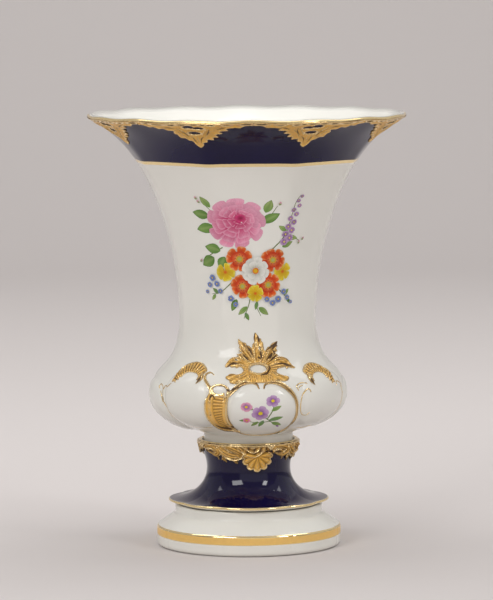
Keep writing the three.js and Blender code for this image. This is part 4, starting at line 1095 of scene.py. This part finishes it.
def garlandStrokes():
    # one quarter of the collar's garland, from -29 mm to 29 mm of its length, with the drape over the shell at 0
    under = [(-30, -0.2), (0, -0.2), (30, -0.2), (30, -9.4), (26, -10.8), (21, -10.6), (17, -9.8), (13, -7.4),
             (9.5, -4.6), (3, -8.6), (-3.4, -10.4), (-9.6, -8.0),
             (-12.4, -11.6), (-16, -12.8), (-20, -12.4), (-25, -11.2), (-30, -9.4)]
    strokes = [
        # the plate carries painted shade between its ribs and, by its tone, all over
        plate(under, 1.1, 60, (0, 40), 0.6, 0.0, 0.12),
        stroke([(-30, -0.8), (-20, -0.6), (-10, -0.9), (0, -1.2), (10, -0.7), (20, -0.6), (30, -0.8)], [0.9], 1.9,
               "band")]
    for k in range(5):  # folds of the drape, every other one a cut with painted shade and dark reflection
        half, drop = 2.6 + 1.7 * k, 2.0 + 2.0 * k
        strokes.append(stroke([(-3.7 - half, -1.2 - 0.4 * k), (-3.7 - 0.62 * half, -0.72 * drop - 0.6),
                               (-3.4, -drop - 0.6), (-3.7 + 0.66 * half, -0.7 * drop - 0.5),
                               (-3.7 + half, -0.9 - 0.3 * k)],
                              [0.3, 0.5, 0.55, 0.5, 0.3], 2.3 + 0.3 * k, "cut" if k % 2 else "band"))
    strokes += [
        stroke([(-31, -1.6), (-27.4, -5.8), (-21.4, -9.4), (-13.6, -10.8)], [2.6, 3.8, 3.6, 1.6], 3.0, "reed", 3),
        stroke([(-23, -1.8), (-18.2, -3.6), (-14.0, -6.4), (-11.4, -10.0)], [2.2, 3.0, 2.8, 1.2], 3.2, "reed", 3),
        stroke([(-14.6, -1.6), (-12.0, -3.6), (-11.2, -6.6)], [1.6, 2.2, 0.8], 3.2, "reed", 2),
        stroke([(-30.4, -8.4), (-25.0, -12.2), (-18.6, -13.8), (-11.6, -12.2)], [0.3, 0.5, 0.6, 0.4], 3.4, "band"),
        stroke([(-11.6, -11.8), (-10.6, -8.4), (-12.6, -5.4)], [0.5, 0.8, 0.4], 3.6, "band"),
        stroke([(-26.4, -10.4), (-27.6, -13.4), (-26.4, -16.8)], [2.2, 1.9, 0.4], 2.4, "leaf", 2),
        stroke([(-16.2, -12.4), (-17.6, -15.0), (-16.4, -17.6)], [2.1, 1.8, 0.4], 2.4, "leaf", 2),
        stroke([(-25.8, -2.4), (-30.4, -5.4), (-33.6, -10.2), (-34.0, -14.6)], [2.4, 3.4, 2.6, 0.5], 2.8, "leaf", 4),
        stroke([(7.4, -1.2), (9.6, -3.4), (12.4, -5.6)], [1.4, 1.7, 0.6], 3.0, "band"),
        stroke([(12.4, -1.2), (9.8, -3.4), (8.6, -5.8)], [1.2, 1.5, 0.5], 2.8, "band"),
        stroke([(11.4, -4.0), (15.0, -1.9), (20.4, -1.7), (25.6, -3.8), (26.8, -7.6), (22.8, -10.2), (17.0, -9.6)],
               [1.1, 1.8, 2.3, 2.5, 2.3, 1.8, 0.7], 3.0, "reed", 2),
        stroke([(13.2, -7.6), (14.0, -5.0), (18.0, -4.2), (21.4, -5.6)], [0.8, 1.2, 1.2, 0.6], 3.1, "band"),
        # a cut with painted shade and dark reflection
        stroke([(14.6, -7.4), (18.4, -7.2), (21.8, -8.0)], [0.5, 1.3, 0.5], 3.3, "cut"),
        stroke([(24, -1.4), (30.6, -3.4), (33.8, -8.4), (31.6, -13.2)], [2.0, 3.2, 2.6, 0.5], 2.6, "leaf", 4),
    ]
    return strokes


crest = {-1: (-4.3, 23.5), 1: (1.6, 26.0)}  # the angle and run from the cushion's centre, by the side of the hook
lace = dict(below=0.2, radius=132.0, box=(-51.7, 51.7, -35, 0))
for face, turn in gildedFaces.items():
    makeRelief("palmette_relief_" + face, "palmette_" + face, palmetteStrokes(), palmette["box"], relief["cell"],
               onSkin(turn + palmette["turn"], palmette["run"]), palmette["holes"])
    makeRelief("cartouche_relief_" + face, "cartouche_" + face, cartoucheStrokes(), (-54, 34, -36, 48), relief["cell"],
               onSkin(turn + framed["offset"], framed["centre"]), [wingEye])
print("palmettes and cartouches made")
for corner, (turn, half, side) in cornerCushions.items():
    aside, above = crest[side]
    makeRelief("crest_relief_" + corner, "crest_" + corner, crestStrokes(), (-20, 20, -14, 17), relief["cell"],
               onSkin(turn + aside, plain["centre"] + above, side))
for k in range(vessel["panelCount"]):
    turn = (k + 0.5) * 360 / vessel["panelCount"]
    side = 1 if (k // 2) % 2 == 0 else -1  # the long slope lies away from the nearer face
    makeRelief(f"rim_lace_relief_{k + 1}", f"rim_lace_{k + 1}", laceStrokes(), lace["box"], relief["laceCell"],
               onSkin(turn, skin["rim"] - lace["below"], side, lace["radius"]), laceHoles, relief["laceEdge"])
print("crests and lace made")


collar = dict(round=37.0, drawn=58.0, columns=600, turn=8.3)
shell = dict(flutes=7, reach=16.0, spread=108, rows=34, columns=128, hinge=9.6, sunk=0.3)


def makeGarland(c):
    # the quarter is laid four times round the collar as one closed band, with a copy past each end for the seam
    quarter = 2 * math.pi * c["round"] / 4
    strokes = []
    for k in range(-1, 5):
        for s in garlandStrokes():
            moved = dict(s, line=s["line"] * np.array([quarter / c["drawn"], 1]) + np.array([k * quarter, 0]))
            if "hub" in s:
                moved["hub"] = (s["hub"][0] + k * quarter, s["hub"][1])
            strokes.append(moved)
    makeRelief("collar_garland_relief", "collar_garland", strokes, (0, 4 * quarter - 0.001, -19, 0),
               4 * quarter / c["columns"], onStem(c["turn"]), looped=True)


def makeShell(name, node, centre, s):
    # a fan of flutes, |cos| of the angle, about the hinge. Its outline is scalloped once for each flute
    rows, columns, spread = s["rows"], s["columns"], s["spread"]
    angle = np.linspace(-spread, spread, columns)[None, :]
    along = np.linspace(0.06, 1, rows)[:, None]
    wave = np.abs(np.cos(np.pi * angle / (2 * spread) * s["flutes"]))
    outline = s["reach"] * (1 - 0.20 * (np.abs(angle) / spread) ** 1.6) * (1 - 0.15 * (1 - wave) ** 1.4)
    u = along * outline * np.sin(np.radians(angle)) * 0.92
    v = -along * outline * np.cos(np.radians(angle)) * 0.98
    dome = np.sqrt(np.clip(1 - (2 * along - 0.95) ** 2 * 0.5, 0, 1))
    fan = (0.8 + 2.2 * dome * (0.55 + 0.45 * wave ** 0.7)) * smooth(1.0, 0.96, along)
    lift = fan + 1.1 * smooth(0.82, 0.91, along) * smooth(1.0, 0.97, along)
    lift[0] = lift[-1] = lift[:, 0] = lift[:, -1] = -0.1
    place = onStem(centre)
    top = place(u.ravel(), v.ravel() - s["hinge"], lift.ravel())
    bottom = place(u.ravel(), v.ravel() - s["hinge"], -s["sunk"])
    faces = gridFaces(rows, columns)
    count = rows * columns
    ring = np.concatenate([np.arange(columns), np.arange(1, rows) * columns + columns - 1,
                           count - 2 - np.arange(columns - 1), np.arange(rows - 2, 0, -1) * columns])
    after = np.roll(ring, -1)
    wall = np.stack([ring, after, after + count, ring + count], -1)
    allFaces = np.vstack([faces, faces[:, ::-1] + count, wall[:, ::-1]])
    points = np.vstack([top, bottom])
    if facesInward(points, faces):
        allFaces = allFaces[:, ::-1]
    edge = np.maximum(smooth(0.84, 0.90, along), 0.55 * smooth(0.93, 1.0, wave) * smooth(0.3, 0.6, along))
    # painted shade in the valleys between the flutes and in a band inside the hem
    hemShade = 0.25 * smooth(0.92, 0.84, along) * smooth(0.72, 0.80, along)
    valleyShade = (1 - wave) ** 1.4 * 0.62 * (1 - edge) + hemShade
    blank = np.zeros(count)
    values = dict(burnish=np.concatenate([edge.ravel(), blank]), paintedShade=np.concatenate([valleyShade.ravel(), blank]))
    meshPiece(name, points, allFaces, goldMaterial, [node], values)


makeGarland(collar)
for face, turn in gildedFaces.items():
    makeShell("shell_relief_" + face, "shell_" + face, turn + collar["turn"], shell)
print("garland and shells made")


giltThread = dict(height=0.28, above=0.02, perPoint=14, across=(-1, -0.6, 0, 0.6, 1, 0),
                  lifts=(0, 0.75, 1, 0.75, 0, -0.5))


def giltLine(points, width, g):
    # a raised line that tapers to both ends, six points round. Widths are turned from mm into angles
    line = splineLine(points, g["perPoint"] * len(points))
    scale = np.stack([np.radians(1) * skinRadius(line[:, 1]), np.ones(len(line))], -1)
    along = np.gradient(line, axis=0) * scale
    normal = np.stack([-along[:, 1], along[:, 0]], -1)
    normal = normal / np.maximum(np.linalg.norm(normal, axis=1), 1e-6)[:, None] / scale
    half = np.interp(np.linspace(0, 1, len(line)), np.linspace(0, 1, len(width)), width)
    at = line[:, None, :] + normal[:, None, :] * (half[:, None] * np.array(g["across"], float)[None])[..., None]
    lift = g["above"] + g["height"] * np.array(g["lifts"])[None, :] * np.ones((len(line), 1))
    return overSkin(at[..., 0], at[..., 1], lift).reshape(-1, 3)


panelLines = [  # (angle, run) lines on the front half, with half widths. They are repeated on the back half
    ([(-67.8, 5.6), (-69.2, 7.8), (-67.6, 9.6), (-65.0, 8.2), (-63.6, 6.0), (-61.4, 9.0), (-58.6, 8.2), (-56.4, 9.6),
      (-54.4, 11.6)], [0.3, 0.6, 0.5, 0.45, 0.45, 0.5, 0.45, 0.55, 0.3]),
    ([(-64.0, 7.4), (-64.0, 2.6), (-62.8, -4.0), (-60.4, -13), (-59.0, -22), (-55.8, -29.2), (-48, -33.4), (-38, -33.8),
      (-30, -31.2)], [0.3, 0.42, 0.45, 0.45, 0.45, 0.42, 0.38, 0.34, 0.24]),
    ([(-66.2, 4.0), (-64.6, 0.4), (-63.2, -5)], [0.24, 0.45, 0.24]),
    ([(35.2, 12.6), (33.4, 13.5), (31.0, 13.5), (28.9, 12.4), (27.8, 10.8), (28.8, 7.2)],
     [0.5, 0.5, 0.55, 0.55, 0.45, 0.3]),
    ([(32.4, 11.6), (30.2, 10.8), (28.8, 9.0)], [0.24, 0.42, 0.3]),
    ([(36.6, 5.2), (36.0, 7.4), (34.5, 7.9), (32.5, 5.8), (30.9, 2.4), (30.1, -2.6), (30.3, -8), (31.4, -11.6),
      (32.9, -13.6), (35.2, -13.6), (36.8, -11.0)],
     [0.5, 0.6, 0.6, 0.55, 0.5, 0.5, 0.5, 0.45, 0.38, 0.3, 0.24]),
    ([(60.8, 7.6), (61.4, 10.4), (64.0, 10.4), (67.4, 8.8), (71.2, 6.4), (74.6, 4.6)],
     [0.5, 0.55, 0.5, 0.45, 0.4, 0.24]),
    ([(66.6, 7.0), (69.4, 2.6), (72.4, -1.2), (75.0, 0.2)], [0.24, 0.45, 0.4, 0.24]),
    ([(70.6, 1.0), (70.8, -8), (69.6, -19), (66.6, -29), (60, -35.6), (50, -38.2), (40, -36.2)],
     [0.24, 0.4, 0.4, 0.38, 0.34, 0.3, 0.2]),
]


def makePanelLines():
    points, faces, count = [], [], 0
    for half in (0, 180):
        for line, width in panelLines:
            thread = giltLine([(turn + half, run) for turn, run in line], width, giltThread)
            points.append(thread)
            faces.append(gridFaces(len(thread) // 6, 6, False, True) + count)
            count += len(thread)
    values = dict(burnish=np.full(count, 0.95), paintedShade=np.zeros(count))
    meshPiece("panel_gilt_lines", np.vstack(points), np.vstack(faces), goldMaterial, (), values)


makePanelLines()
print("panel lines made")


def paint(red, green, blue):  # a colour given as 0 to 255 steps of brightness to the eye
    return ((np.array([red, green, blue]) / 255 + 0.055) / 1.055) ** 2.4


colours = dict(
    pinkDeep=paint(176, 42, 88), pink=paint(220, 90, 134), pinkPale=paint(242, 178, 200), orange=paint(205, 50, 16),
    orangeMid=paint(228, 92, 36), orangePale=paint(244, 176, 128), white=paint(238, 236, 228),
    whiteShade=paint(190, 190, 178), yellow=paint(232, 206, 62), yellowDeep=paint(218, 168, 34),
    yellowPale=paint(244, 228, 122), lilac=paint(142, 92, 158), lilacPale=paint(206, 172, 208),
    violetDeep=paint(86, 50, 116), blue=paint(84, 102, 172), bluePale=paint(152, 166, 208), green=paint(102, 140, 72),
    greenMid=paint(132, 166, 94), greenPale=paint(172, 188, 124), greenGrey=paint(118, 148, 104),
    dark=paint(58, 50, 40), stalk=paint(112, 128, 72))


painting = dict(radius=62.0, start=0.04, step=0.0035, jitter=0.05, petalRows=10, petalColumns=8, ribbonRows=26)


class Brush:
    # gathers petals and ribbons in millimetres about a centre on the vessel. Each lies a little over the one before

    def __init__(self, turn, run, side, seed, scale=1.0):
        self.turn, self.run, self.side, self.scale = turn, run, side, scale
        self.chance = np.random.default_rng(seed)
        self.points, self.faces, self.tints, self.maps = [], [], [], []
        self.count, self.layer = 0, 0

    def put(self, u, v, tint, across, along, rows, columns):
        # lays a grid of points on the glaze, with its colours and the shares across and along it for the brush marks
        self.layer += 1
        lift = painting["start"] + painting["step"] * self.layer
        turn = self.turn + self.side * np.degrees(self.scale * u / painting["radius"])
        points = overSkin(turn, self.run + self.scale * v, lift).reshape(-1, 3)
        faces = gridFaces(rows, columns)
        if self.side < 0:
            faces = faces[:, ::-1]
        shift = self.chance.uniform(0, 30, 2)
        self.points.append(points)
        self.faces.append(faces + self.count)
        self.tints.append(np.clip(tint, 0.002, 0.95).reshape(-1, 3))
        self.maps.append(np.stack([across.ravel() + shift[0], along.ravel() + shift[1]], -1))
        self.count += len(points)

    def petal(self, at, angle, length, width, base, tip, kind="round", rim=None, vein=None, curl=0.0):
        # grows from its base along the angle (0 is up, 90 is right). Width follows the kind
        rows, columns, jitter = painting["petalRows"], painting["petalColumns"], painting["jitter"]
        length = length * self.chance.uniform(1 - jitter, 1 + jitter)
        width = width * self.chance.uniform(1 - jitter, 1 + jitter)
        t = ((1 - np.cos(np.pi * np.linspace(0, 1, rows))) / 2)[:, None]
        q = np.linspace(-1, 1, columns)[None, :]
        if kind == "round":
            half = np.clip(t ** 0.75 * (1 - t ** 3.5) ** 0.5 * 1.25, 0.02, 1)
        elif kind == "heart":
            half = np.clip(t ** 0.9 * (1 - t ** 6) ** 0.45 * 1.1, 0.02, 1)
        else:
            half = np.clip(np.sin(np.pi * t ** 0.85) ** 0.85, 0.02, 1)
        across = q * half * width / 2
        along = t * length * (1 - (0.14 * np.exp(-(q / 0.3) ** 2) * t ** 4 if kind == "heart" else 0) + 0 * q)
        across = across + curl * length * t ** 2
        a = math.radians(angle)
        u = at[0] + across * math.cos(a) + along * math.sin(a)
        v = at[1] - across * math.sin(a) + along * math.cos(a)
        share = smooth(0.05, 0.95, t + 0 * q)[..., None]
        tint = base * (1 - share) + tip * share
        if rim is not None:
            sides = smooth(0.72, 0.98, np.abs(q) + 0 * t) * smooth(0.3, 0.6, t)
            edge = np.maximum(sides, smooth(0.84, 0.97, t + 0 * q))[..., None]
            tint = tint * (1 - edge) + rim * edge
        if vein is not None:
            line = (np.exp(-(q / 0.16) ** 2) * smooth(0.0, 0.12, t) * smooth(0.98, 0.7, t))[..., None]
            tint = tint * (1 - 0.8 * line) + vein * 0.8 * line
        tint = tint * self.chance.uniform(0.9, 1.1)
        self.put(u, v, tint, q + 0 * t, t + 0 * q, rows, columns)

    def ribbon(self, points, width, tint):  # a stalk of three points across, with half widths along it
        rows = painting["ribbonRows"]
        line = splineLine(points, rows)
        along = np.gradient(line, axis=0)
        normal = np.stack([-along[:, 1], along[:, 0]], -1)
        normal /= np.maximum(np.linalg.norm(normal, axis=1), 1e-6)[:, None]
        half = np.interp(np.linspace(0, 1, rows), np.linspace(0, 1, len(width)), width)
        q = np.array([1.0, 0.0, -1.0])[None, :]
        u = line[:, 0][:, None] + normal[:, 0][:, None] * half[:, None] * q
        v = line[:, 1][:, None] + normal[:, 1][:, None] * half[:, None] * q
        t = np.linspace(0, 1, rows)[:, None] + 0 * q
        self.put(u, v, np.broadcast_to(tint, (rows, 3, 3)), q + 0 * t, t * 4, rows, 3)

    def dot(self, at, radius, tint, edge=None):  # a round dab
        angle = np.linspace(0, 2 * np.pi, 13)[None, :]
        r = np.array([0.0, 0.55, 1.0])[:, None] * radius
        shade = np.array([0.0, 0.4, 1.0])[:, None, None]
        colour = tint * (1 - shade) + (tint if edge is None else edge) * shade
        self.put(at[0] + r * np.sin(angle), at[1] + r * np.cos(angle), np.broadcast_to(colour, (3, 13, 3)),
                 r / radius + 0 * angle, angle + 0 * r, 3, 13)

    def dots(self, at, ring, count, step, radius, tint):  # a ring of dabs about a centre
        for k in range(count):
            self.dot((at[0] + ring * math.sin(k * step), at[1] + ring * math.cos(k * step)), radius, tint)

    def bloom(self, at, radius, petals, base, tip, width=1.0, rim=None, vein=None, kind="round", start=0.0):
        # petals all round a centre
        for k in range(petals):
            angle = start + 360.0 * k / petals + self.chance.uniform(-7, 7)
            self.petal(at, angle, radius, width * 2 * math.pi * radius / petals, base, tip, kind, rim, vein)

    def finish(self, name):
        points, faces = np.vstack(self.points), np.vstack(self.faces)
        meshPiece(name, points, faces, enamel, (), None, dict(tint=np.vstack(self.tints)), np.vstack(self.maps))


def leaf(b, at, angle, length, width, pale=0, curl=0.0):  # one green petal with a pale vein
    tones = [("green", "greenMid", "greenPale"), ("greenMid", "greenPale", "green"),
             ("greenGrey", "greenMid", "green")][pale]
    base, tip, vein = (colours[t] for t in tones)
    b.petal(at, angle, length, width, base, tip, "leaf", base * 0.8, vein, curl)


def peony(b, at, radius):
    # rings of cupped petals from the outside in. The heart lies up and to one side, as seen a little from below
    c = colours
    b.dot(at, 0.82 * radius, c["pink"], c["pinkPale"])
    rounds = [  # reach, number of petals, shift of the centre, darkness
        (1.0, 9, 0.0, 0.1), (0.84, 8, 0.08, 0.25), (0.68, 7, 0.16, 0.3), (0.52, 6, 0.24, 0.45), (0.37, 5, 0.32, 0.6),
        (0.23, 4, 0.38, 0.85)]
    for ring, (reach, count, shift, dark) in enumerate(rounds):
        centre = (at[0] + 0.20 * shift * radius * 2, at[1] + 0.24 * shift * radius * 2)
        for k in range(count):
            angle = 360.0 * k / count + 24 * ring + b.chance.uniform(-8, 8)
            low = -math.cos(math.radians(angle - 40))  # petals on the near side are deeper in colour
            mix = min(max(dark + 0.22 * low, 0), 1)
            tip = c["pinkPale"] * (1 - mix) + c["pink"] * mix
            base = c["pink"] * (1 - 0.8 * dark) + c["pinkDeep"] * 0.8 * dark
            inner = radius * reach * 0.30
            a = math.radians(angle)
            start = (centre[0] + inner * math.sin(a), centre[1] + inner * math.cos(a))
            width = 2.5 * math.pi * radius * reach * 0.8 / count
            b.petal(start, angle, radius * reach * 0.72, width, base, tip, "heart", c["pinkPale"], None, 0.1)
    heart = (at[0] + 0.16 * radius, at[1] + 0.2 * radius)
    b.dot(heart, 0.14 * radius, c["pinkDeep"], c["pink"])
    for k in range(7):
        b.petal(heart, 51 * k, 0.16 * radius, 0.15 * radius, c["pinkDeep"] * 0.8, c["pink"], "round")


def poppy(b, at, radius, start=0.0):  # two rings of orange petals, a green eye and dark dots
    c = colours
    b.bloom(at, radius, 7, c["orange"] * 0.9, c["orangeMid"], 1.05, c["orangePale"], c["orange"] * 0.8, "heart", start)
    b.bloom(at, 0.66 * radius, 6, c["orangePale"], c["orange"], 0.9, None, c["orangeMid"], "round", start + 28)
    b.dot(at, 0.26 * radius, c["greenPale"], c["yellowDeep"])
    b.dots(at, 0.34 * radius, 9, 0.7, 0.35, c["dark"])


def anemone(b, at, radius):  # two rings of white petals, a yellow eye and dots
    c = colours
    b.bloom(at, radius, 8, c["whiteShade"], c["white"], 1.05, c["white"], c["whiteShade"] * 0.9, "heart", 12)
    b.bloom(at, 0.7 * radius, 6, c["whiteShade"] * 0.92, c["white"], 1.0, c["white"], None, "round", 40)
    b.dot(at, 0.23 * radius, c["yellow"], c["orangeMid"])
    b.dots(at, 0.3 * radius, 10, 0.63, 0.32, c["yellowDeep"])


def buttercup(b, at, radius, start=0.0):  # five yellow petals about an orange eye
    c = colours
    b.bloom(at, radius, 5, c["yellowDeep"], c["yellow"], 1.0, c["yellowPale"], c["yellowDeep"], "heart", start)
    b.dot(at, 0.24 * radius, c["orangeMid"], c["yellowDeep"])


def small(b, at, radius, base, tip, petals=5, centre="yellow"):  # one ring of petals and an eye
    b.bloom(at, radius, petals, colours[base], colours[tip], 0.95, None, None, "round", b.chance.uniform(0, 60))
    b.dot(at, 0.26 * radius, colours[centre])


def makeSpray(name, turn, side, seed):
    # stalks, leaves, a peony, a spike of small bells and a cluster of blooms, in millimetres from the spray's middle
    b = Brush(turn, 126.0, side, seed)
    c = colours
    for line in ([(2, -22), (-1, -40), (-6, -54)], [(6, -24), (5, -42), (9, -52)], [(-8, 10), (-20, 28), (-33, 44)],
                 [(14, 0), (27, 18), (31, 44), (34, 51)],
                 [(-14, -22), (-26, -32), (-35, -34)], [(18, -24), (28, -33), (37, -40)],
                 [(-22, 6), (-32, 0), (-41, -6)], [(0, 14), (12, 30), (18, 42)], [(24, 8), (36, 12), (41, 10)]):
        b.ribbon(line, [0.45, 0.4, 0.2], c["stalk"])
    for at, angle, length, width, pale in (
            ((-30, 33), -80, 14, 8.5, 0), ((-27, 24), -105, 15, 9.5, 0), ((-28, 41), -38, 12, 5.5, 1),
            ((8, 27), 52, 15, 8.5, 0), ((10, 36), 20, 12, 6.5, 1), ((-24, 3), -70, 13, 9.5, 0),
            ((-30, -3), -120, 13, 10.0, 0), ((-21, -2), -155, 11, 8.5, 0), ((25, 6), 65, 10, 5, 1),
            ((29, 14), 100, 9, 4.5, 1), ((27, 20), -60, 8, 4, 1), ((-3, -44), -130, 10, 4.5, 1),
            ((-5, -49), 150, 7, 3.5, 2), ((7, -45), 120, 11, 5, 1), ((6, -40), 200, 7, 3.5, 2),
            ((-28, -33), -60, 7, 3.5, 2), ((-31, -34), -140, 6, 3, 1), ((30, -35), 40, 7, 3.5, 1),
            ((33, -38), 130, 6, 3, 2), ((-12, -38), -150, 11, 6, 0)):
        leaf(b, at, angle, length, width, pale, b.chance.uniform(-0.12, 0.12))
    peony(b, (-11, 27), 21.5)
    for k, (u, v) in enumerate([(35, 50), (33, 46), (34.5, 41.5), (30.5, 38), (33.5, 34), (29, 30.5), (32.5, 27),
                                (28, 23.5), (31.5, 20), (26.5, 17), (30.5, 13.5), (26, 10.5)]):
        small(b, (u, v), 1.6 + 0.16 * k, "lilac" if k % 3 else "violetDeep", "lilacPale", 5, "yellowPale")
    for at, radius, start in (((-21, -15), 8.0, 20), ((27, -15), 7.6, 50)):
        buttercup(b, at, radius, start)
    for at, radius, start in (((-9, -4), 10.6, 10), ((18, -5), 10.0, 40), ((-7, -27), 9.8, 30), ((15, -26), 10.6, 0)):
        poppy(b, at, radius, start)
    anemone(b, (4, -14), 11.6)
    buttercup(b, (4, -33), 7.0, 5)
    for u, v, r in ((-33, -20, 2.9), (-29, -25, 2.6), (-36, -26, 2.4), (-26, -31, 2.2), (-39, -32, 1.7), (24, -38, 3.0),
                    (29, -32, 2.6), (19, -41, 2.6), (33, -37, 2.2), (14, -38, 2.4),
                    (-17, -37, 2.6), (-13, -42, 2.2), (37, -41, 1.6)):
        small(b, (u, v), r, "blue", "bluePale")
    for u, v in ((-35, 45), (-37, 48), (39, 8), (42, 11), (-43, -7), (19, 43)):
        b.petal((u, v), b.chance.uniform(-40, 40), 3.4, 2.0, c["greenMid"], c["pinkPale"], "leaf")
    b.finish(name)


def makeSprig(name, turn, side, seed):
    # three stalks, leaves and small blooms inside the frame
    b = Brush(turn + 5.6, -10.6, side, seed, scale=1.16)
    c = colours
    for line in ([(9, -9), (2, -2), (-6, 5)], [(3, -3), (6, 5), (5, 11)], [(5, -5), (-3, -6), (-9, -4)]):
        b.ribbon(line, [0.32, 0.3, 0.15], c["stalk"])
    for at, angle, length, width, pale in (((4, -4), 75, 8.5, 3.4, 2), ((6, -6), 120, 7.5, 3.2, 1),
                                           ((1, -4), 200, 7, 3.0, 2), ((-2, -5), -140, 6, 2.6, 1),
                                           ((5, 3), 60, 6, 2.6, 1),
                                           ((-5, 4), -60, 5.5, 2.4, 1), ((-8, -4), -95, 5, 2.2, 2)):
        leaf(b, at, angle, length, width, pale)
    for at, radius, base, tip, petals in (((-1, 1.5), 4.9, "lilac", "lilacPale", 6),
                                          ((5.6, 9.5), 3.8, "lilac", "lilacPale", 5),
                                          ((-8.6, 5.8), 3.2, "lilac", "pinkPale", 5),
                                          ((-8.5, -4.0), 2.2, "pink", "pinkPale", 5)):
        small(b, at, radius, base, tip, petals)
    b.petal((9.4, -9.4), 140, 3.2, 1.6, c["lilac"], c["lilacPale"], "leaf")
    b.finish(name)


makeSpray("spray_front", 0.0, 1, 5)
makeSpray("spray_back", 180.0, -1, 8)
for number, (face, turn) in enumerate(gildedFaces.items()):
    makeSprig("sprig_" + face, turn, 1 - 2 * number, 21 + number)
print("sprays painted")


studio = dict(
    paper=(0.66, 0.615, 0.60, 1), air=(1.0, 0.985, 0.97, 1), airStrength=0.255,
    front=-4.5, curl=2.6, curlRadius=1.4, wallTop=4.0, halfWidth=4,
    lights=dict(  # azimuth from the camera's side, elevation, distance, width, height, power and, if not the vase, aim
        window_left=(-36, 30, 1.7, 0.78, 0.56, 9.6),
        window_right=(46, 30, 1.7, 0.30, 0.50, 5.2),
        ceiling=(10, 87, 3.0, 3.2, 3.0, 13.5),
        backdrop=(0, 35, 2.6, 3.0, 1.0, 12.0, (0, 4.0, 0.6)),
        floor_back=(0, 35, 2.6, 3.0, 1.0, 26, (0, 2.4, 0.1)),
        low_front=(12, 9, 3.8, 6.0, 3.0, 22),
        side_right=(112, 34, 3.2, 4.4, 3.6, 12),
        side_left=(-112, 34, 3.2, 4.4, 3.6, 8)))


def paperMaterial(s):
    # plain paper. Its back is clear, so it doesn't stand between the vase and a view from behind it
    material, tree, shader = newMaterial("paleSweep")
    shader.inputs["Base Color"].default_value = s["paper"]
    shader.inputs["Roughness"].default_value = 0.9
    either = node(tree, "ShaderNodeMixShader")
    behind = node(tree, "ShaderNodeNewGeometry").outputs["Backfacing"]
    clear = node(tree, "ShaderNodeBsdfTransparent").outputs[0]
    for socket, value in zip(either.inputs, (behind, shader.outputs[0], clear)):
        feed(tree, socket, value)
    feed(tree, tree.nodes["Material Output"].inputs["Surface"], either.outputs[0])
    return material


def makePaper(s):
    # a pale sweep of paper: a floor, a quarter circle far behind the vase and a wall
    bend = np.linspace(0.05, math.pi / 2, 24)
    y = np.concatenate([np.linspace(s["front"], s["curl"], 40), s["curl"] + s["curlRadius"] * np.sin(bend)])
    z = np.concatenate([np.zeros(40), s["curlRadius"] * (1 - np.cos(bend)), [s["wallTop"]]])
    y = np.append(y, y[-1])
    gridX, gridY = np.meshgrid(np.linspace(-s["halfWidth"], s["halfWidth"], 30), y)
    points = np.stack([gridX, gridY, np.repeat(z[:, None], 30, 1)], -1).reshape(-1, 3)
    mesh = bpy.data.meshes.new("paper_sweep")
    mesh.from_pydata(points.tolist(), [], gridFaces(len(y), 30).tolist())
    mesh.shade_smooth()
    mesh.materials.append(paperMaterial(s))
    sweep = bpy.data.objects.new("paper_sweep", mesh)
    bpy.context.scene.collection.objects.link(sweep)


def areaLight(name, azimuth, elevation, distance, width, height, power, aim=(0, 0, 0.18)):
    light = bpy.data.lights.new(name, "AREA")
    light.shape = "RECTANGLE"
    light.size, light.size_y = width, height
    light.energy = power
    lamp = bpy.data.objects.new(name, light)
    a, e = math.radians(azimuth), math.radians(elevation)
    at = Vector(aim) + distance * Vector((math.sin(a) * math.cos(e), -math.cos(a) * math.cos(e), math.sin(e)))
    lamp.matrix_world = Matrix.Translation(at) @ (Vector(aim) - at).to_track_quat("-Z", "Y").to_matrix().to_4x4()
    bpy.context.scene.collection.objects.link(lamp)


def makeLights(s):
    for name, values in s["lights"].items():
        areaLight(name, *values)
    world = bpy.data.worlds.new("studioAir")
    world.use_nodes = True
    colour, strength = world.node_tree.nodes["Background"].inputs[:2]
    colour.default_value = s["air"]
    strength.default_value = s["airStrength"]
    bpy.context.scene.world = world


view = dict(distance=3257.15, height=515.88, azimuth=2.5, tilt=5.45, roll=0.33, focal=3917.0, axisX=247.6,
            axisY=300.0, width=493, depth=600, sensor=36)  # mm, degrees and, from focal on, pixels of the photo


def makeCamera(c):
    # fitted to the ellipses of the rim, the lip and the plinth
    a, t, w = (math.radians(c[key]) for key in ("azimuth", "tilt", "roll"))
    forward = Vector((math.sin(a) * math.cos(t), math.cos(a) * math.cos(t), -math.sin(t)))
    right = forward.cross(Vector((0, 0, 1))).normalized()
    up = right.cross(forward)
    across = right * math.cos(w) - up * math.sin(w)
    above = up * math.cos(w) + right * math.sin(w)
    at = Vector((-math.sin(a) * c["distance"], -math.cos(a) * c["distance"], c["height"])) * mm
    data = bpy.data.cameras.new("photo_camera")
    data.sensor_width = c["sensor"]
    data.lens = c["sensor"] * c["focal"] / c["depth"]
    data.shift_x = (c["width"] / 2 - c["axisX"]) / c["depth"]
    data.shift_y = (c["axisY"] - c["depth"] / 2) / c["depth"]
    data.clip_end = 50
    camera = bpy.data.objects.new("photo_camera", data)
    turned = Matrix((across, above, -forward)).transposed().to_4x4()
    camera.matrix_world = Matrix.Translation(at) @ turned
    bpy.context.scene.collection.objects.link(camera)
    bpy.context.scene.camera = camera


makePaper(studio)
makeLights(studio)
makeCamera(view)
bpy.context.scene.view_settings.view_transform = "Standard"

print("scene ready")
